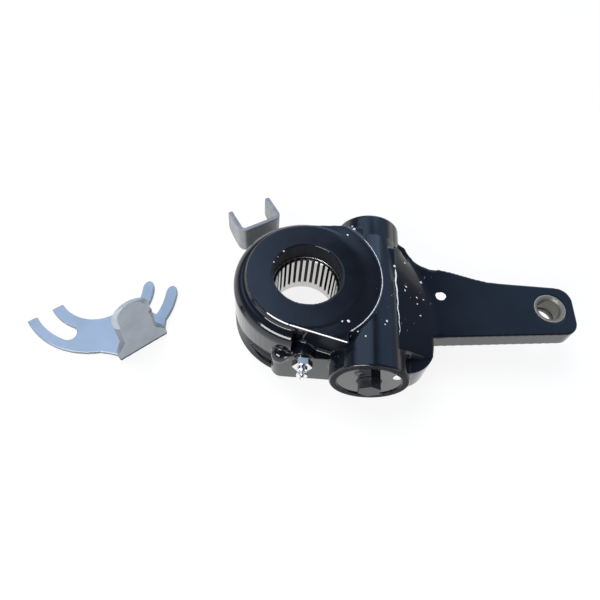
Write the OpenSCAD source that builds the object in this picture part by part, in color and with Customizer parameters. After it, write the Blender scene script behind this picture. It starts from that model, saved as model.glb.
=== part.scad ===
// Self-setting brake slack adjuster with its loose anchor bracket, in millimetres.
// Origin: on the spline axis, at the height of the worm axis. +X runs along the lever arm, +Z is up.

/* [Lever arm] */
// Distance from the spline axis to the clevis pin axis
lever_len = 150; // [142:1:165]
// Thickness of the arm
arm_thick = 12; // [10:0.5:13]
// Height of the arm's top face above the worm axis
arm_top = 7.6; // [6:0.2:9]
// Distance of the arm's straight rear edge from the lever axis
arm_back = 15.6; // [14.5:0.1:18]
// Distance of the arm's front edge from the lever axis at the clevis pin
arm_front = 18.2; // [16:0.1:20]
// Distance of the rear edge from the lever axis at the root
arm_back_root = 22.8; // [20:0.2:26]
// Distance of the front edge from the lever axis at the root
arm_front_root = 26.4; // [24:0.2:30]
// Reach of the tip past the clevis pin axis
arm_reach = 15.3; // [14:0.1:18]
// Corner radius of the tip
arm_corner = 9.2; // [6:0.2:12]
// Outside diameter of the clevis bush
bush_od = 19.2; // [17:0.2:21]
// Bore of the clevis bush
bush_bore = 14.2; // [12:0.1:15]
// Bevel at each mouth of the clevis bush
bush_bevel = 1.2; // [0.6:0.1:1.6]

/* [Spline] */
// Number of internal spline teeth
spline_teeth = 32; // [28:1:36]
// Diameter over the spline's tooth spaces
spline_major = 40; // [39:0.1:40.4]
// Diameter inside the spline's tooth lands
spline_minor = 37; // [36:0.1:37.4]
// Height of the top end of the spline
spline_top = 12.2; // [10:0.2:14]
// Height of the bottom end of the spline
spline_low = -15; // [-18:0.2:-12]
// Height of the wheel's bottom face
wheel_bottom = -21.5; // [-23:0.1:-20.6]

/* [Casing] */
// Outside radius of the round casing
casing_r = 43.3; // [42.8:0.1:46]
// Radius of the raised top face
plateau_r = 35.8; // [34:0.1:37]
// Height of the raised top face
plateau_z = 24.5; // [23.8:0.1:27]
// Radius of the top opening over the spline
mouth_r = 20.35; // [20.3:0.05:21.5]
// Height of the casing's bottom face
casing_bottom = -24; // [-25:0.1:-23.6]
// Depth of the flat front wall in front of the spline axis
front_wall = 44.5; // [43.2:0.1:46]
// Radius of the rounded shoulder round the top face
shoulder_r = 7; // [5:0.2:8]
// Radius of the step on the worm side of the top face
saddle_r = 43.8; // [42:0.1:46]

/* [Worm gear] */
// Number of wheel teeth
wheel_teeth = 24; // [24:1:24]
// Module of the worm gear
gear_module = 2.4; // [2.3:0.05:2.45]
// Distance between the spline axis and the worm axis
worm_x = 39.2; // [38.8:0.1:40]
// Face width of the wheel
wheel_face = 16; // [13:0.5:16.4]
// Radius of the wheel's journals
journal_r = 25; // [24:0.1:25.2]
// Free play between worm and wheel flanks
gear_play = 0.7; // [0.6:0.05:0.9]
// Length of the threaded part of the worm
worm_len = 37; // [30:1:38]
// Radius of the worm's shaft
shaft_r = 7; // [6.6:0.1:7.2]
// Width across flats of the adjusting hexagon
hex_af = 12; // [10:0.5:12]
// Stand-out of the adjusting hexagon from the front cover
hex_out = 6.2; // [4:0.2:9]

/* [Worm barrel] */
// Outside radius of the worm barrel
barrel_r = 23.07; // [22.4:0.1:25]
// Outside radius of the barrel's rear end
rear_r = 20; // [19.4:0.1:22]
// Front face of the barrel, in front of the spline axis
barrel_front = 54.9; // [54.4:0.1:58]
// Rear face of the barrel, behind the spline axis
barrel_back = 52.1; // [51:0.1:56]
// Radius of the front cover disc
cover_r = 18.45; // [17.5:0.05:19.4]
// Thickness of the front cover disc
cover_thick = 3.5; // [2.5:0.1:4]
// Depth of the front cover below the barrel's face
cover_inset = 1; // [0.4:0.1:1.4]
// Radius of the rear screw plug
plug_r = 16; // [15:0.1:16.6]
// Length of the rear screw plug
plug_len = 7; // [6:0.1:8]
// Radius of the clutch chamber behind the front cover
chamber_r = 15; // [14.8:0.1:15.6]

/* [Control mechanism] */
// Radius of the control disc
disc_r = 33.5; // [32.6:0.1:33.6]
// Thickness of the control disc
disc_thick = 2.5; // [2:0.1:2.8]
// Radius from the spline axis at which the notch drives the rack
notch_r = 31.5; // [31:0.1:32]
// Half width of the rack's driving lug
lug_half = 2.4; // [1.8:0.1:2.6]
// Play of the lug on each side of the notch
notch_play = 0.8; // [0.6:0.1:1.2]
// Radius of the rack bar
rack_r = 4.9; // [4.6:0.1:4.95]
// Distance of the rack bar in front of the spline axis
rack_y = 36; // [36:0.1:36.6]
// Module of the rack and pinion
rack_module = 1.25; // [1.25:0.05:1.3]
// Number of pinion teeth
pinion_teeth = 16; // [16:1:16]
// Sheet thickness of the control arm
sheet = 2.6; // [2:0.1:3]
// Direction of the control arm round the spline axis, in degrees
fork_angle = 122.3; // [100:0.1:150]
// Distance of the fork's back wall from the spline axis
fork_r = 60; // [56:0.5:66]
// Width over the fork's two ears
fork_w = 29.8; // [20:0.2:31]
// Length of the fork's ears
ear_len = 20; // [14:0.5:22]
// Height of the fork's top edge
fork_top = 5; // [2:0.5:8]
// Height of an ear at its tip
ear_tip = 15; // [10:0.5:18]
// Height of an ear at the back wall
ear_root = 21; // [16:0.5:24]

/* [Anchor bracket] */
// Place of the bracket's arc centre along the lever axis
bracket_x = -134.4; // [-150:0.2:-126]
// Place of the bracket's arc centre across the lever axis
bracket_y = 8.8; // [0:0.2:20]
// Sheet thickness of the bracket
bracket_t = 2.8; // [2:0.1:3.4]
// Inner radius of the bracket's crescent
crescent_in = 23.9; // [22:0.1:25.5]
// Outer radius of the bracket's crescent
crescent_out = 47.2; // [46:0.1:49]
// Middle radius of the left slot
slot_r = 36.1; // [35:0.1:37]
// Width of the left slot
slot_w = 9.8; // [8:0.1:10.4]
// Middle radius of the right slot
slot2_r = 40.2; // [39.6:0.1:41]
// Width of the right slot
slot2_w = 8; // [7:0.1:8.6]
// Distance of the upright tab from the arc centre
tab_r = 54.3; // [53:0.1:58]
// Direction of the tab round the arc centre, in degrees
tab_angle = -49.3; // [-56:0.1:-44]
// Width of the tab at its foot
tab_foot = 32.4; // [28:0.2:36]
// Width of the tab above its foot
tab_w = 24.4; // [20:0.2:26]
// Width of the tab's front face under its arch
panel_w = 17.8; // [14:0.2:19]
// Height of the tab
tab_h = 53; // [46:0.5:60]

/* [Hidden] */
$fn = 64;
eps = 0.01;

// Clearances
press_gap = 0.02;
run_gap = 0.06;
rack_gap = 0.08;
screw_gap = 0.1;
side_gap = 0.2;
free_gap = 0.3;
room_gap = 0.5;

// Overcut past a face
over = 1;

// Finishes
enamel = "#15181f";
steel = "#b9b6ae";
dark_steel = "#5d6068";
zinc = "#a9b4c6";
plated = "#d8dade";
rubber = "#202124";
bronze = "#9a7a4a";

// Worm gear
dedendum = 1.25;
pitch_r = gear_module * wheel_teeth / 2;
tip_r = pitch_r + gear_module;
root_r = pitch_r - dedendum * gear_module;
worm_pitch_r = worm_x - pitch_r;
worm_tip_r = worm_pitch_r + gear_module;
worm_root_r = worm_pitch_r - dedendum * gear_module;
thread_pitch = PI * gear_module;
lead_angle = atan(gear_module / (2 * worm_pitch_r));
pressure = 20;
flank = tan(pressure);
worm_bore = worm_tip_r + room_gap;
gear_room = tip_r + 0.8;
tooth_sink = 0.4;

// Heights in the casing
journal_len = 4;
wheel_top = max(spline_top, wheel_face / 2 + journal_len);
wheel_room = wheel_face / 2 + room_gap;
ring_top = -wheel_face / 2 - room_gap;
ring_len = 8.3;
ring_r = disc_r + room_gap;
cover_depth = 3.4;
gasket_t = 0.6;
ledge = casing_bottom + cover_depth + gasket_t;
disc_low = ledge - side_gap;
disc_top = disc_low + disc_thick;
plate_gap = 0.4;
plate_top = casing_bottom - plate_gap;
plate_low = plate_top - sheet;
floor_z = plate_low;

// Control cover
recess_wall = 3.1;
recess_r = casing_r - recess_wall;
lid_r = recess_r - side_gap;
neck_wall = 3.5;
neck_in = journal_r + free_gap;
neck_r = neck_in + neck_wall;
screw_r = 2;
screw_head = 3;
screw_len = 10.5;
screw_pcd = (ring_r + recess_r) / 2;
screw_angles = [-30, 30, 90, 150, 210];

// Stations along the worm axis
cover_y = -barrel_front + cover_inset;
bush_y = cover_y + cover_thick;
bush_len = 4.4;
pinion_hub = 6.8;
pinion_y0 = bush_y + bush_len + screw_gap;
pinion_y1 = -rack_y + pinion_hub;
teeth_half = 3.9;
teeth_y0 = -rack_y - teeth_half;
teeth_y1 = -rack_y + teeth_half;
hub_r = 9.4;
ring_hub_y0 = pinion_y1 + side_gap;
cone_lead = 1;
cone_len = 5;
cone_y1 = -worm_len / 2 - cone_lead;
cone_y0 = cone_y1 - cone_len;
cone_r0 = 9;
cone_r1 = 12.6;
clutch_web = 1;
clutch_lip = 0.8;
clutch_y0 = cone_y0 - clutch_web;
clutch_y1 = cone_y1 - clutch_lip;
clutch_r = chamber_r - room_gap;
collar_len = 3;
collar_y1 = worm_len / 2 + collar_len;
collar_r = 11.5;
race_t = 1.5;
roller_r = 1;
race_gap = 0.05;
race_f_y = collar_y1 + race_gap;
roller_y = race_f_y + race_t + race_gap + roller_r;
race_r_y = roller_y + roller_r + race_gap;
spring_y0 = race_r_y + race_t + race_gap;
plug_inset = 1.5;
plug_y = barrel_back - plug_inset - plug_len;
spring_wire = 1.25;
spring_mean = 9.8;
tail_r = 6.5;
tail_room = 6;
tail_y1 = plug_y - tail_room;

// Rack and pinion
pinion_r = rack_module * pinion_teeth / 2;
rack_step = PI * rack_module;
rack_drop = 2.5;
rack_z = -pinion_r - rack_drop;
rack_tip_z = -pinion_r + rack_module;
rack_root_z = -pinion_r - dedendum * rack_module;
rack_play = 0.35;
rack_past = 7.8;
rack_flat = 15;
rack_x0 = -6;
rack_x1 = worm_x + rack_past;
rack_flat_x = worm_x - rack_flat;
rack_min = -2.75;
rack_max = 5.5;
rack_room = 1.5;
lug_low = ledge + plate_gap;
lug_deep = 1.1;
lug_in = notch_r - lug_deep;
notch_floor = lug_in - room_gap;
plug_step = 0.7;
rack_plug_len = 9.5;
plug_bore = rack_r + plug_step;
plug_x1 = rack_x0 + rack_min - rack_room;
plug_x0 = plug_x1 - rack_plug_len;

// Grease nipple
nipple_x = 0.6;
nipple_z = 3.2;
nipple_face = max(front_wall, casing_r);
nipple_thread = 3.5;
nipple_af = 10.2;

// Points on an arc about the origin
function arc(r, a0, a1, n) = [for (i = [0 : n]) let (a = a0 + (a1 - a0) * i / n) r * [cos(a), sin(a)]];
function shift(points, by) = [for (p = points) p + by];
function polar(r, a) = r * [cos(a), sin(a)];

// A body swept through rings of points that turn right-handed about the way of the sweep
module sweep(rings) {
    m = len(rings[0]);
    n = len(rings) - 1;
    sides = [for (i = [0 : n - 1], j = [0 : m - 1])
        let (k = (j + 1) % m) [i * m + j, (i + 1) * m + j, (i + 1) * m + k, i * m + k]];
    caps = [[for (j = [0 : m - 1]) j], [for (j = [m - 1 : -1 : 0]) n * m + j]];
    polyhedron([for (ring = rings, p = ring) p], concat(sides, caps), convexity = 8);
}

// Point at a radius, an angle and a station of the worm axis
function worm_point(r, a, y) = [r * sin(a), y, r * cos(a)];

// Round wire wound right-handed about the worm axis
module wire_coil(mean_r, wire_r, y0, y1, turns, steps, sides) {
    n = turns * steps;
    sweep([for (i = [0 : n])
        let (a = 360 * i / steps, y = y0 + (y1 - y0) * i / n)
        [for (j = [0 : sides - 1])
            let (b = 360 * j / sides) worm_point(mean_r + wire_r * sin(b), a, y + wire_r * cos(b))]]);
}

// Places children on the worm axis, with their own Z along +Y
module on_worm(y = 0) {
    translate([worm_x, y, 0]) rotate([-90, 0, 0]) children();
}

// Ring about its own Z axis
module ring(r_in, r_out, h) {
    difference() {
        cylinder(r = r_out, h = h);
        translate([0, 0, -eps]) cylinder(r = r_in, h = h + 2 * eps);
    }
}

// Quarter bend of a sheet, from its flat at -Z up to a wall at +X, with the bend's axis along Y
module sheet_bend(inner, thick, width) {
    outer = inner + thick;
    translate([0, width / 2, 0]) rotate([90, 0, 0]) linear_extrude(width) difference() {
        intersection() {
            circle(r = outer);
            translate([0, -outer]) square(outer);
        }
        circle(r = inner);
    }
}

// Places children on each screw of the control cover
module at_screws() {
    for (a = screw_angles) rotate(a) translate([screw_pcd, 0, casing_bottom]) children();
}

// Casting

casing_draft = 2.6;
wall_draft = 0.3;
draft_top = -12.5;
shoulder_drop = 4.7;
shoulder_sweep = 78;
shoulder_z = plateau_z - shoulder_drop - shoulder_r;
step_foot = 1.8;
step_knee = [0.6, 0.7];
step_rise = 2;
top_bevel = 0.5;

// Round body of the casing with its drafted foot, rolled shoulder and raised top face
module casing_round() {
    shoulder = shift(arc(shoulder_r, 0, shoulder_sweep, 8), [casing_r - shoulder_r, shoulder_z]);
    top = shoulder_z + shoulder_r;
    rotate_extrude($fn = 128) polygon(concat(
        [[0, casing_bottom], [casing_r - casing_draft, casing_bottom], [casing_r - wall_draft, draft_top]],
        shoulder,
        [[plateau_r + step_foot, top], [plateau_r, top] + step_knee, [plateau_r, top + step_rise]],
        [[plateau_r, plateau_z - top_bevel], [plateau_r - top_bevel, plateau_z], [0, plateau_z]]));
}

flare = 14;
back_flare = 5.5;
saddle_x = 24;
shelf_x = 33;
saddle_drop = 0.25;
shelf_drop = 1.1;
flare_start = polar(plateau_r, 270 - flare);
flare_y = -flare_start[1] + (saddle_x - flare_start[0]) * tan(flare);
back_start = polar(plateau_r, 90 + back_flare);
back_y = back_start[1] + (saddle_x - back_start[0]) * tan(back_flare);

// Flared outline of the top face towards the worm barrel
module flare_outline(reach) {
    polygon([flare_start, [saddle_x, -flare_y], [reach, -flare_y], [reach, back_y],
        [saddle_x, back_y], back_start]);
}

block_top = 5;
pocket_x = -6.5;

// Casing with the pocket over the front block cut away, along the flare of the top face
module casing() {
    difference() {
        casing_round();
        translate([0, 0, block_top]) linear_extrude(plateau_z) polygon([
            [pocket_x, -casing_r - over], [worm_x, -casing_r - over], [worm_x, -flare_y],
            [saddle_x, -flare_y], [pocket_x, (saddle_x - pocket_x) * tan(flare) - flare_y]]);
    }
}

// Saddle between the round top face and the worm barrel
module saddle() {
    linear_extrude(plateau_z - saddle_drop) intersection() {
        circle(r = saddle_r, $fn = 128);
        flare_outline(saddle_r);
    }
    linear_extrude(plateau_z - shelf_drop) flare_outline(shelf_x);
}

block_x0 = -11;
block_corner = 6.5;
block_in = 20;
nipple_boss = 6.6;

// Front block round the rack, with its flat wall and the boss of the grease nipple
module front_block() {
    h = block_top - casing_bottom;
    translate([block_x0, -front_wall, casing_bottom]) cube([worm_x - block_x0, front_wall - block_in, h]);
    translate([block_x0, -front_wall + block_corner, casing_bottom]) cylinder(r = block_corner, h = h);
    translate([nipple_x, -front_wall, nipple_z]) rotate([-90, 0, 0])
        cylinder(r = nipple_boss, h = front_wall - block_in);
}

boss_r = 5.4;
boss_x = -12.4;
boss_z = 2;

// Rounded boss on the front wall beside the nipple
module side_boss() {
    translate([boss_x, -front_wall + boss_r / 2, boss_z]) sphere(r = boss_r);
}

barrel_edge = 0.9;
rear_edge = 1.6;
taper_from = 2;
taper_to = 36;

// Barrel round the worm, drawn in towards its rounded rear end
module barrel() {
    on_worm() rotate_extrude($fn = 128) polygon(concat(
        [[0, -barrel_front], [barrel_r - barrel_edge, -barrel_front]],
        [[barrel_r, barrel_edge - barrel_front], [barrel_r, taper_from], [rear_r, taper_to]],
        shift(arc(rear_edge, 0, 90, 5), [rear_r - rear_edge, barrel_back - rear_edge]),
        [[0, barrel_back]]));
}

root_x = 76.5;
blend_x = 120;
fillet_r = 19;
fillet_lead = 4;
cheek_r = 17.8;
cheek = [58.5, -32.7];
web_low = -14;
web_tip = [61.9, 37.2];
web_end_at = [55, 42];
ridge_x = 52.5;
ridge_front = -40;
ridge_back = 28;
ridge_z = sqrt(pow(barrel_r, 2) - pow(ridge_x - worm_x, 2));
toe_back = [62, 30];
toe_mid = [71, 4];
toe_front = [74, -30];

// Sloping web that carries the barrel's side down onto the arm
module root_web() {
    hull() {
        translate([worm_x, ridge_front, 0])
            cube([ridge_x - worm_x, ridge_back - ridge_front, ridge_z]);
        linear_extrude(arm_top)
            polygon([[worm_x, ridge_front], toe_front, toe_mid, toe_back, [worm_x, ridge_back]]);
    }
}

function back_edge(x) = arm_back + (arm_back_root - arm_back)
    * (0.5 + 0.5 * cos(180 * (x - root_x) / (blend_x - root_x)));

// Outline of the arm from its root to the clevis end
module arm_outline() {
    tip = lever_len + arm_reach - arm_corner;
    slope = (arm_front_root - arm_front) / (lever_len - root_x);
    tip_front = arm_front - slope * (tip - lever_len);
    polygon(concat(
        [[worm_x, -arm_front_root], [root_x, -arm_front_root]],
        shift(arc(arm_corner, -90, 0, 6), [tip, -tip_front + arm_corner]),
        shift(arc(arm_corner, 0, 90, 6), [tip, arm_back - arm_corner]),
        [for (i = [6 : -1 : 0]) let (x = root_x + (blend_x - root_x) * i / 6) [x, back_edge(x)]],
        [[worm_x, arm_back_root]]));
}

// Lever arm with its cheeks at the worm barrel
module lever_arm() {
    translate([0, 0, arm_top - arm_thick]) linear_extrude(arm_thick) arm_outline();
    translate([0, 0, web_low]) linear_extrude(arm_top - web_low) {
        translate(cheek) circle(r = cheek_r);
        polygon([[worm_x, cheek[1]], [root_x, cheek[1]], [root_x, 0], [worm_x, 0]]);
    }
    translate([0, 0, web_low]) linear_extrude(arm_top - web_low) difference() {
        mid = [root_x + fillet_lead, arm_back_root + fillet_r];
        polygon([[worm_x, 0], [root_x, 0], [root_x, arm_back_root], web_tip, web_end_at,
            [worm_x, web_end_at[1]]]);
        translate(mid) circle(r = fillet_r);
    }
}

dimple = [82.8, 2.7];
dimple_r = 8;
dimple_depth = 0.7;

// Half length of the window between the wheel's room and the worm's bore
mesh_half = sqrt(pow(gear_room, 2) - pow(worm_x - worm_bore, 2));

// Every bore and chamber of the casting
module housing_bores() {
    translate([0, 0, wheel_top]) cylinder(r = mouth_r, h = plateau_z - wheel_top + over);
    translate([0, 0, wheel_room - eps])
        cylinder(r = journal_r + run_gap, h = wheel_top + free_gap - wheel_room);
    translate([0, 0, ring_top - eps]) cylinder(r = gear_room, h = wheel_room - ring_top + eps);
    translate([0, -mesh_half, ring_top]) cube([worm_x, 2 * mesh_half, wheel_room - ring_top - eps]);
    translate([0, 0, ledge - eps]) cylinder(r = ring_r, h = ring_top - ledge + eps);
    translate([0, 0, casing_bottom - over]) cylinder(r = recess_r, h = ledge - casing_bottom + over);
    at_screws() cylinder(r = screw_r, h = screw_len + room_gap);
    on_worm(-barrel_front - over) cylinder(r = cover_r + press_gap, h = bush_y + barrel_front + over);
    on_worm(bush_y - eps) cylinder(r = chamber_r, h = cone_y1 + room_gap - bush_y);
    on_worm(cone_y1) cylinder(r = worm_bore, h = plug_y - cone_y1 + eps);
    on_worm(plug_y) cylinder(r = plug_r + press_gap, h = barrel_back - plug_y + over);
    rack_bores();
    translate([nipple_x, -nipple_face - over, nipple_z]) rotate([-90, 0, 0])
        cylinder(r = nipple_thread + press_gap, h = nipple_face + over - tip_r);
    translate([lever_len, 0, arm_top - arm_thick - over])
        cylinder(r = bush_od / 2 + press_gap, h = arm_thick + 2 * over);
    translate([dimple[0], dimple[1], arm_top + dimple_r - dimple_depth]) sphere(r = dimple_r);
}

// Bore of the rack, the seat of its plug and the room for its lug
module rack_bores() {
    lug_x0 = rack_min - lug_half - rack_room;
    lug_x1 = rack_max + lug_half + rack_room;
    translate([plug_x1 - eps, -rack_y, rack_z]) rotate([0, 90, 0])
        cylinder(r = rack_r + rack_gap, h = rack_x1 + rack_max + rack_room - plug_x1);
    translate([-casing_r, -rack_y, rack_z]) rotate([0, 90, 0])
        cylinder(r = plug_bore + press_gap, h = plug_x1 + casing_r);
    translate([lug_x0, -rack_y, ledge - eps])
        cube([lug_x1 - lug_x0, rack_y - lug_in + room_gap, rack_z - ledge]);
}

module housing() {
    color(enamel) difference() {
        union() {
            casing();
            saddle();
            front_block();
            side_boss();
            barrel();
            lever_arm();
            root_web();
        }
        housing_bores();
    }
}

module arm_bush() {
    r = bush_od / 2;
    b = bush_bore / 2;
    color(steel) translate([lever_len, 0, arm_top - arm_thick]) rotate_extrude() polygon([
        [b, bush_bevel], [b + bush_bevel, 0], [r, 0], [r, arm_thick], [b + bush_bevel, arm_thick],
        [b, arm_thick - bush_bevel]]);
}

// Worm barrel fittings

pin_hole_r = 1.3;
pin_hole_mid = 11.5;
pin_hole_depth = 2.1;
pin_hole_angle = -135;

module front_cover() {
    color(dark_steel) on_worm(cover_y) difference() {
        cylinder(r = cover_r, h = cover_thick);
        translate([0, 0, -eps]) cylinder(r = shaft_r + free_gap, h = cover_thick + 2 * eps);
        rotate(pin_hole_angle) translate([pin_hole_mid, 0, -eps])
            cylinder(r = pin_hole_r, h = pin_hole_depth);
    }
}

seal_r = 9.5;
seal_len = 2.8;

module front_bush() {
    color(bronze) on_worm(bush_y) difference() {
        cylinder(r = chamber_r - press_gap, h = bush_len);
        translate([0, 0, -eps]) cylinder(r = shaft_r + run_gap, h = bush_len + 2 * eps);
        translate([0, 0, -eps]) cylinder(r = seal_r, h = seal_len + eps);
    }
}

module shaft_seal() {
    color(rubber) on_worm(bush_y) ring(shaft_r + run_gap, seal_r - press_gap, seal_len - screw_gap);
}

socket_af = 14;
socket_depth = 4;
groove_w = 2.2;
groove_at = 1;
cord_r = 0.9;

module rear_plug() {
    color(dark_steel) on_worm(plug_y) difference() {
        cylinder(r = plug_r, h = plug_len);
        translate([0, 0, plug_len - socket_depth])
            cylinder(r = socket_af / sqrt(3), h = socket_depth + over, $fn = 6);
        translate([0, 0, groove_at]) ring(plug_r - 2 * cord_r, plug_r + over, groove_w);
    }
}

// Round seal cord about its own Z axis
module seal_cord(mid_r) {
    rotate_extrude() translate([mid_r, 0]) circle(r = cord_r - press_gap, $fn = 24);
}

module rear_plug_seal() {
    color(rubber) on_worm(plug_y + groove_at + groove_w / 2) seal_cord(plug_r - cord_r);
}

race_in = shaft_r + screw_gap;
race_out = worm_bore - room_gap;
roller_len = 3.6;
roller_mid = (race_in + race_out) / 2;
roller_count = 16;
cage_t = 1.2;

// Places children on each thrust roller, with their own Z pointing outwards
module at_rollers() {
    for (i = [0 : roller_count - 1]) rotate(i * 360 / roller_count) translate([roller_mid, 0, 0])
        rotate([0, 90, 0]) children();
}

module thrust_cage() {
    slot = [2 * roller_r + side_gap, 2 * roller_r + side_gap, roller_len + free_gap];
    color(bronze) on_worm(roller_y) difference() {
        translate([0, 0, -cage_t / 2]) ring(race_in, race_out, cage_t);
        at_rollers() cube(slot, center = true);
    }
}

module thrust_rollers() {
    color(steel) on_worm(roller_y) at_rollers() translate([0, 0, -roller_len / 2])
        cylinder(r = roller_r, h = roller_len, $fn = 24);
}

module thrust_race_rear() {
    color(steel) on_worm(race_r_y) ring(race_in, race_out, race_t);
}

module thrust_race_front() {
    color(steel) on_worm(race_f_y) ring(race_in, race_out, race_t);
}

module clutch_spring() {
    color(dark_steel) translate([worm_x, 0, 0]) wire_coil(spring_mean, spring_wire,
        spring_y0 + spring_wire, plug_y - spring_wire - race_gap, 4, 20, 8);
}

// Control side under the casing

module bearing_ring() {
    color(bronze) difference() {
        translate([0, 0, ring_top - ring_len]) ring(journal_r + run_gap, ring_r - press_gap, ring_len);
        translate([-ring_r, -2 * ring_r, ring_top - ring_len - over])
            cube([2 * ring_r, 2 * ring_r - lug_in + room_gap, ring_len + 2 * over]);
        on_worm(-ring_r) cylinder(r = chamber_r + side_gap, h = 2 * ring_r);
    }
}

module control_cover() {
    color(enamel) difference() {
        translate([0, 0, casing_bottom]) ring(neck_r + rack_gap, lid_r, cover_depth);
        translate([0, 0, casing_bottom + (cover_depth - groove_w) / 2])
            ring(neck_r - over, neck_r + 2 * cord_r + rack_gap, groove_w);
        at_screws() {
            translate([0, 0, -over]) cylinder(r = screw_r + screw_gap, h = cover_depth + 2 * over);
            translate([0, 0, -eps])
                cylinder(r1 = screw_head + screw_gap, r2 = screw_r + screw_gap, h = screw_head - screw_r);
        }
    }
}

module cover_gasket() {
    color(rubber) difference() {
        translate([0, 0, casing_bottom + cover_depth]) ring(ring_r + side_gap, lid_r, gasket_t);
        at_screws() cylinder(r = screw_r + screw_gap, h = screw_len);
    }
}

module cover_screws() {
    drive_r = 1.5;
    drive_depth = 1.6;
    color(dark_steel) at_screws() difference() {
        union() {
            cylinder(r = screw_r - press_gap, h = screw_len);
            cylinder(r1 = screw_head, r2 = screw_r - press_gap, h = screw_head - screw_r);
        }
        translate([0, 0, -eps]) cylinder(r = drive_r, h = drive_depth, $fn = 6);
    }
}

module neck_seal() {
    color(rubber) translate([0, 0, casing_bottom + cover_depth / 2])
        seal_cord(neck_r + cord_r + rack_gap / 2);
}

module rack_plug() {
    key_af = 5;
    key_depth = 4;
    color(enamel) translate([plug_x0, -rack_y, rack_z]) rotate([0, 90, 0]) difference() {
        cylinder(r = plug_bore, h = plug_x1 - plug_x0);
        translate([0, 0, -eps]) cylinder(r = key_af / sqrt(3), h = key_depth, $fn = 6);
    }
}

nipple_seat = 6;
nipple_hex_y = 1.6;
nipple_hex_len = 3.6;
nipple_foot = 3.3;
nipple_cone = 2;
nipple_neck = 2.3;
nipple_waist = 3;
nipple_head = 3.2;
nipple_head_y = 4.4;
nipple_head_len = 1;
nipple_tip = 1.7;
nipple_len = 12.2;
ball_r = 1.1;

module grease_nipple() {
    top = nipple_len - nipple_hex_y - nipple_hex_len;
    color(plated) translate([nipple_x, -nipple_face, nipple_z]) rotate([90, 0, 0]) difference() {
        union() {
            translate([0, 0, -nipple_seat]) cylinder(r = nipple_thread, h = nipple_seat + nipple_hex_y);
            translate([0, 0, nipple_hex_y]) cylinder(r = nipple_af / sqrt(3), h = nipple_hex_len, $fn = 6);
            translate([0, 0, nipple_hex_y + nipple_hex_len]) rotate_extrude() polygon([
                [0, 0], [nipple_foot, 0], [nipple_foot - free_gap, nipple_cone],
                [nipple_neck, nipple_waist], [nipple_head, nipple_head_y],
                [nipple_head, nipple_head_y + nipple_head_len],
                [nipple_tip, top], [0, top]]);
        }
        translate([0, 0, -nipple_seat - over])
            cylinder(r = ball_r + run_gap, h = nipple_seat + nipple_len + 2 * over);
    }
}

module nipple_ball() {
    color(steel) translate([nipple_x, -nipple_face - nipple_len + ball_r - screw_gap, nipple_z])
        sphere(r = ball_r, $fn = 32);
}

// Worm wheel

land_half = 2.35;
space_half = 2.0;

// Spaces between the spline's teeth
module spline_spaces() {
    step = 360 / spline_teeth;
    inner = spline_minor / 2 - room_gap;
    outer = spline_major / 2;
    mouth = step / 2 - land_half;
    for (i = [0 : spline_teeth - 1]) rotate(i * step) polygon([polar(inner, -mouth),
        polar(outer, -space_half), polar(outer, 0), polar(outer, space_half), polar(inner, mouth)]);
}

// Straight tooth set at the thread's lead angle
module wheel_tooth() {
    half = thread_pitch / 4 - gear_play / 2;
    foot = root_r - tooth_sink;
    rotate([-lead_angle, 0, 0]) translate([0, 0, -wheel_face / 2]) linear_extrude(wheel_face) polygon([
        [foot, -half - (pitch_r - foot) * flank], [tip_r, -half + gear_module * flank],
        [tip_r, half - gear_module * flank], [foot, half + (pitch_r - foot) * flank]]);
}

seal_drop = 2.6;
seal_z = wheel_top - seal_drop;
lead_in = 1.4;
journal_bevel = 0.5;

module worm_wheel() {
    bore = spline_minor / 2;
    color(steel) difference() {
        union() {
            rotate_extrude($fn = 96) polygon([
                [bore, spline_low], [mouth_r, spline_low], [mouth_r, wheel_bottom],
                [journal_r - journal_bevel, wheel_bottom],
                [journal_r, wheel_bottom + journal_bevel],
                [journal_r, -wheel_face / 2], [root_r, -wheel_face / 2], [root_r, wheel_face / 2],
                [journal_r, wheel_face / 2], [journal_r, wheel_top], [mouth_r, wheel_top],
                [bore, spline_top - lead_in]]);
            for (i = [0 : wheel_teeth - 1]) rotate(i * 360 / wheel_teeth) wheel_tooth();
        }
        translate([0, 0, spline_low - over]) linear_extrude(spline_top - spline_low + 2 * over)
            spline_spaces();
        translate([0, 0, seal_z - groove_w / 2]) ring(journal_r - 2 * cord_r, journal_r + over, groove_w);
    }
}

module wheel_seal() {
    color(rubber) translate([0, 0, seal_z]) seal_cord(journal_r - cord_r);
}

// Worm shaft and clutch

thread_less = 0.6;

// Helical thread whose crest fades out at both ends
module worm_thread() {
    steps = 20;
    fade = steps / 2;
    turns = worm_len / thread_pitch - thread_less;
    n = floor(turns * steps);
    first = -270 - 360 * round(turns / 2);
    half = thread_pitch / 4 - gear_play / 4;
    half_tip = half - gear_module * flank;
    half_root = half + dedendum * gear_module * flank;
    foot = worm_root_r - tooth_sink;
    low = worm_root_r + free_gap;
    sweep([for (i = [0 : n])
        let (a = first + 360 * i / steps, y = thread_pitch * (a + 270) / 360)
        let (r = low + (worm_tip_r - low) * min(1, min(i, n - i) / fade))
        [worm_point(foot, a, y + half_root), worm_point(r, a, y + half_tip),
            worm_point(r, a, y - half_tip), worm_point(foot, a, y - half_root)]]);
}

cone_rim = 0.6;
collar_bevel = 0.4;

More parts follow.
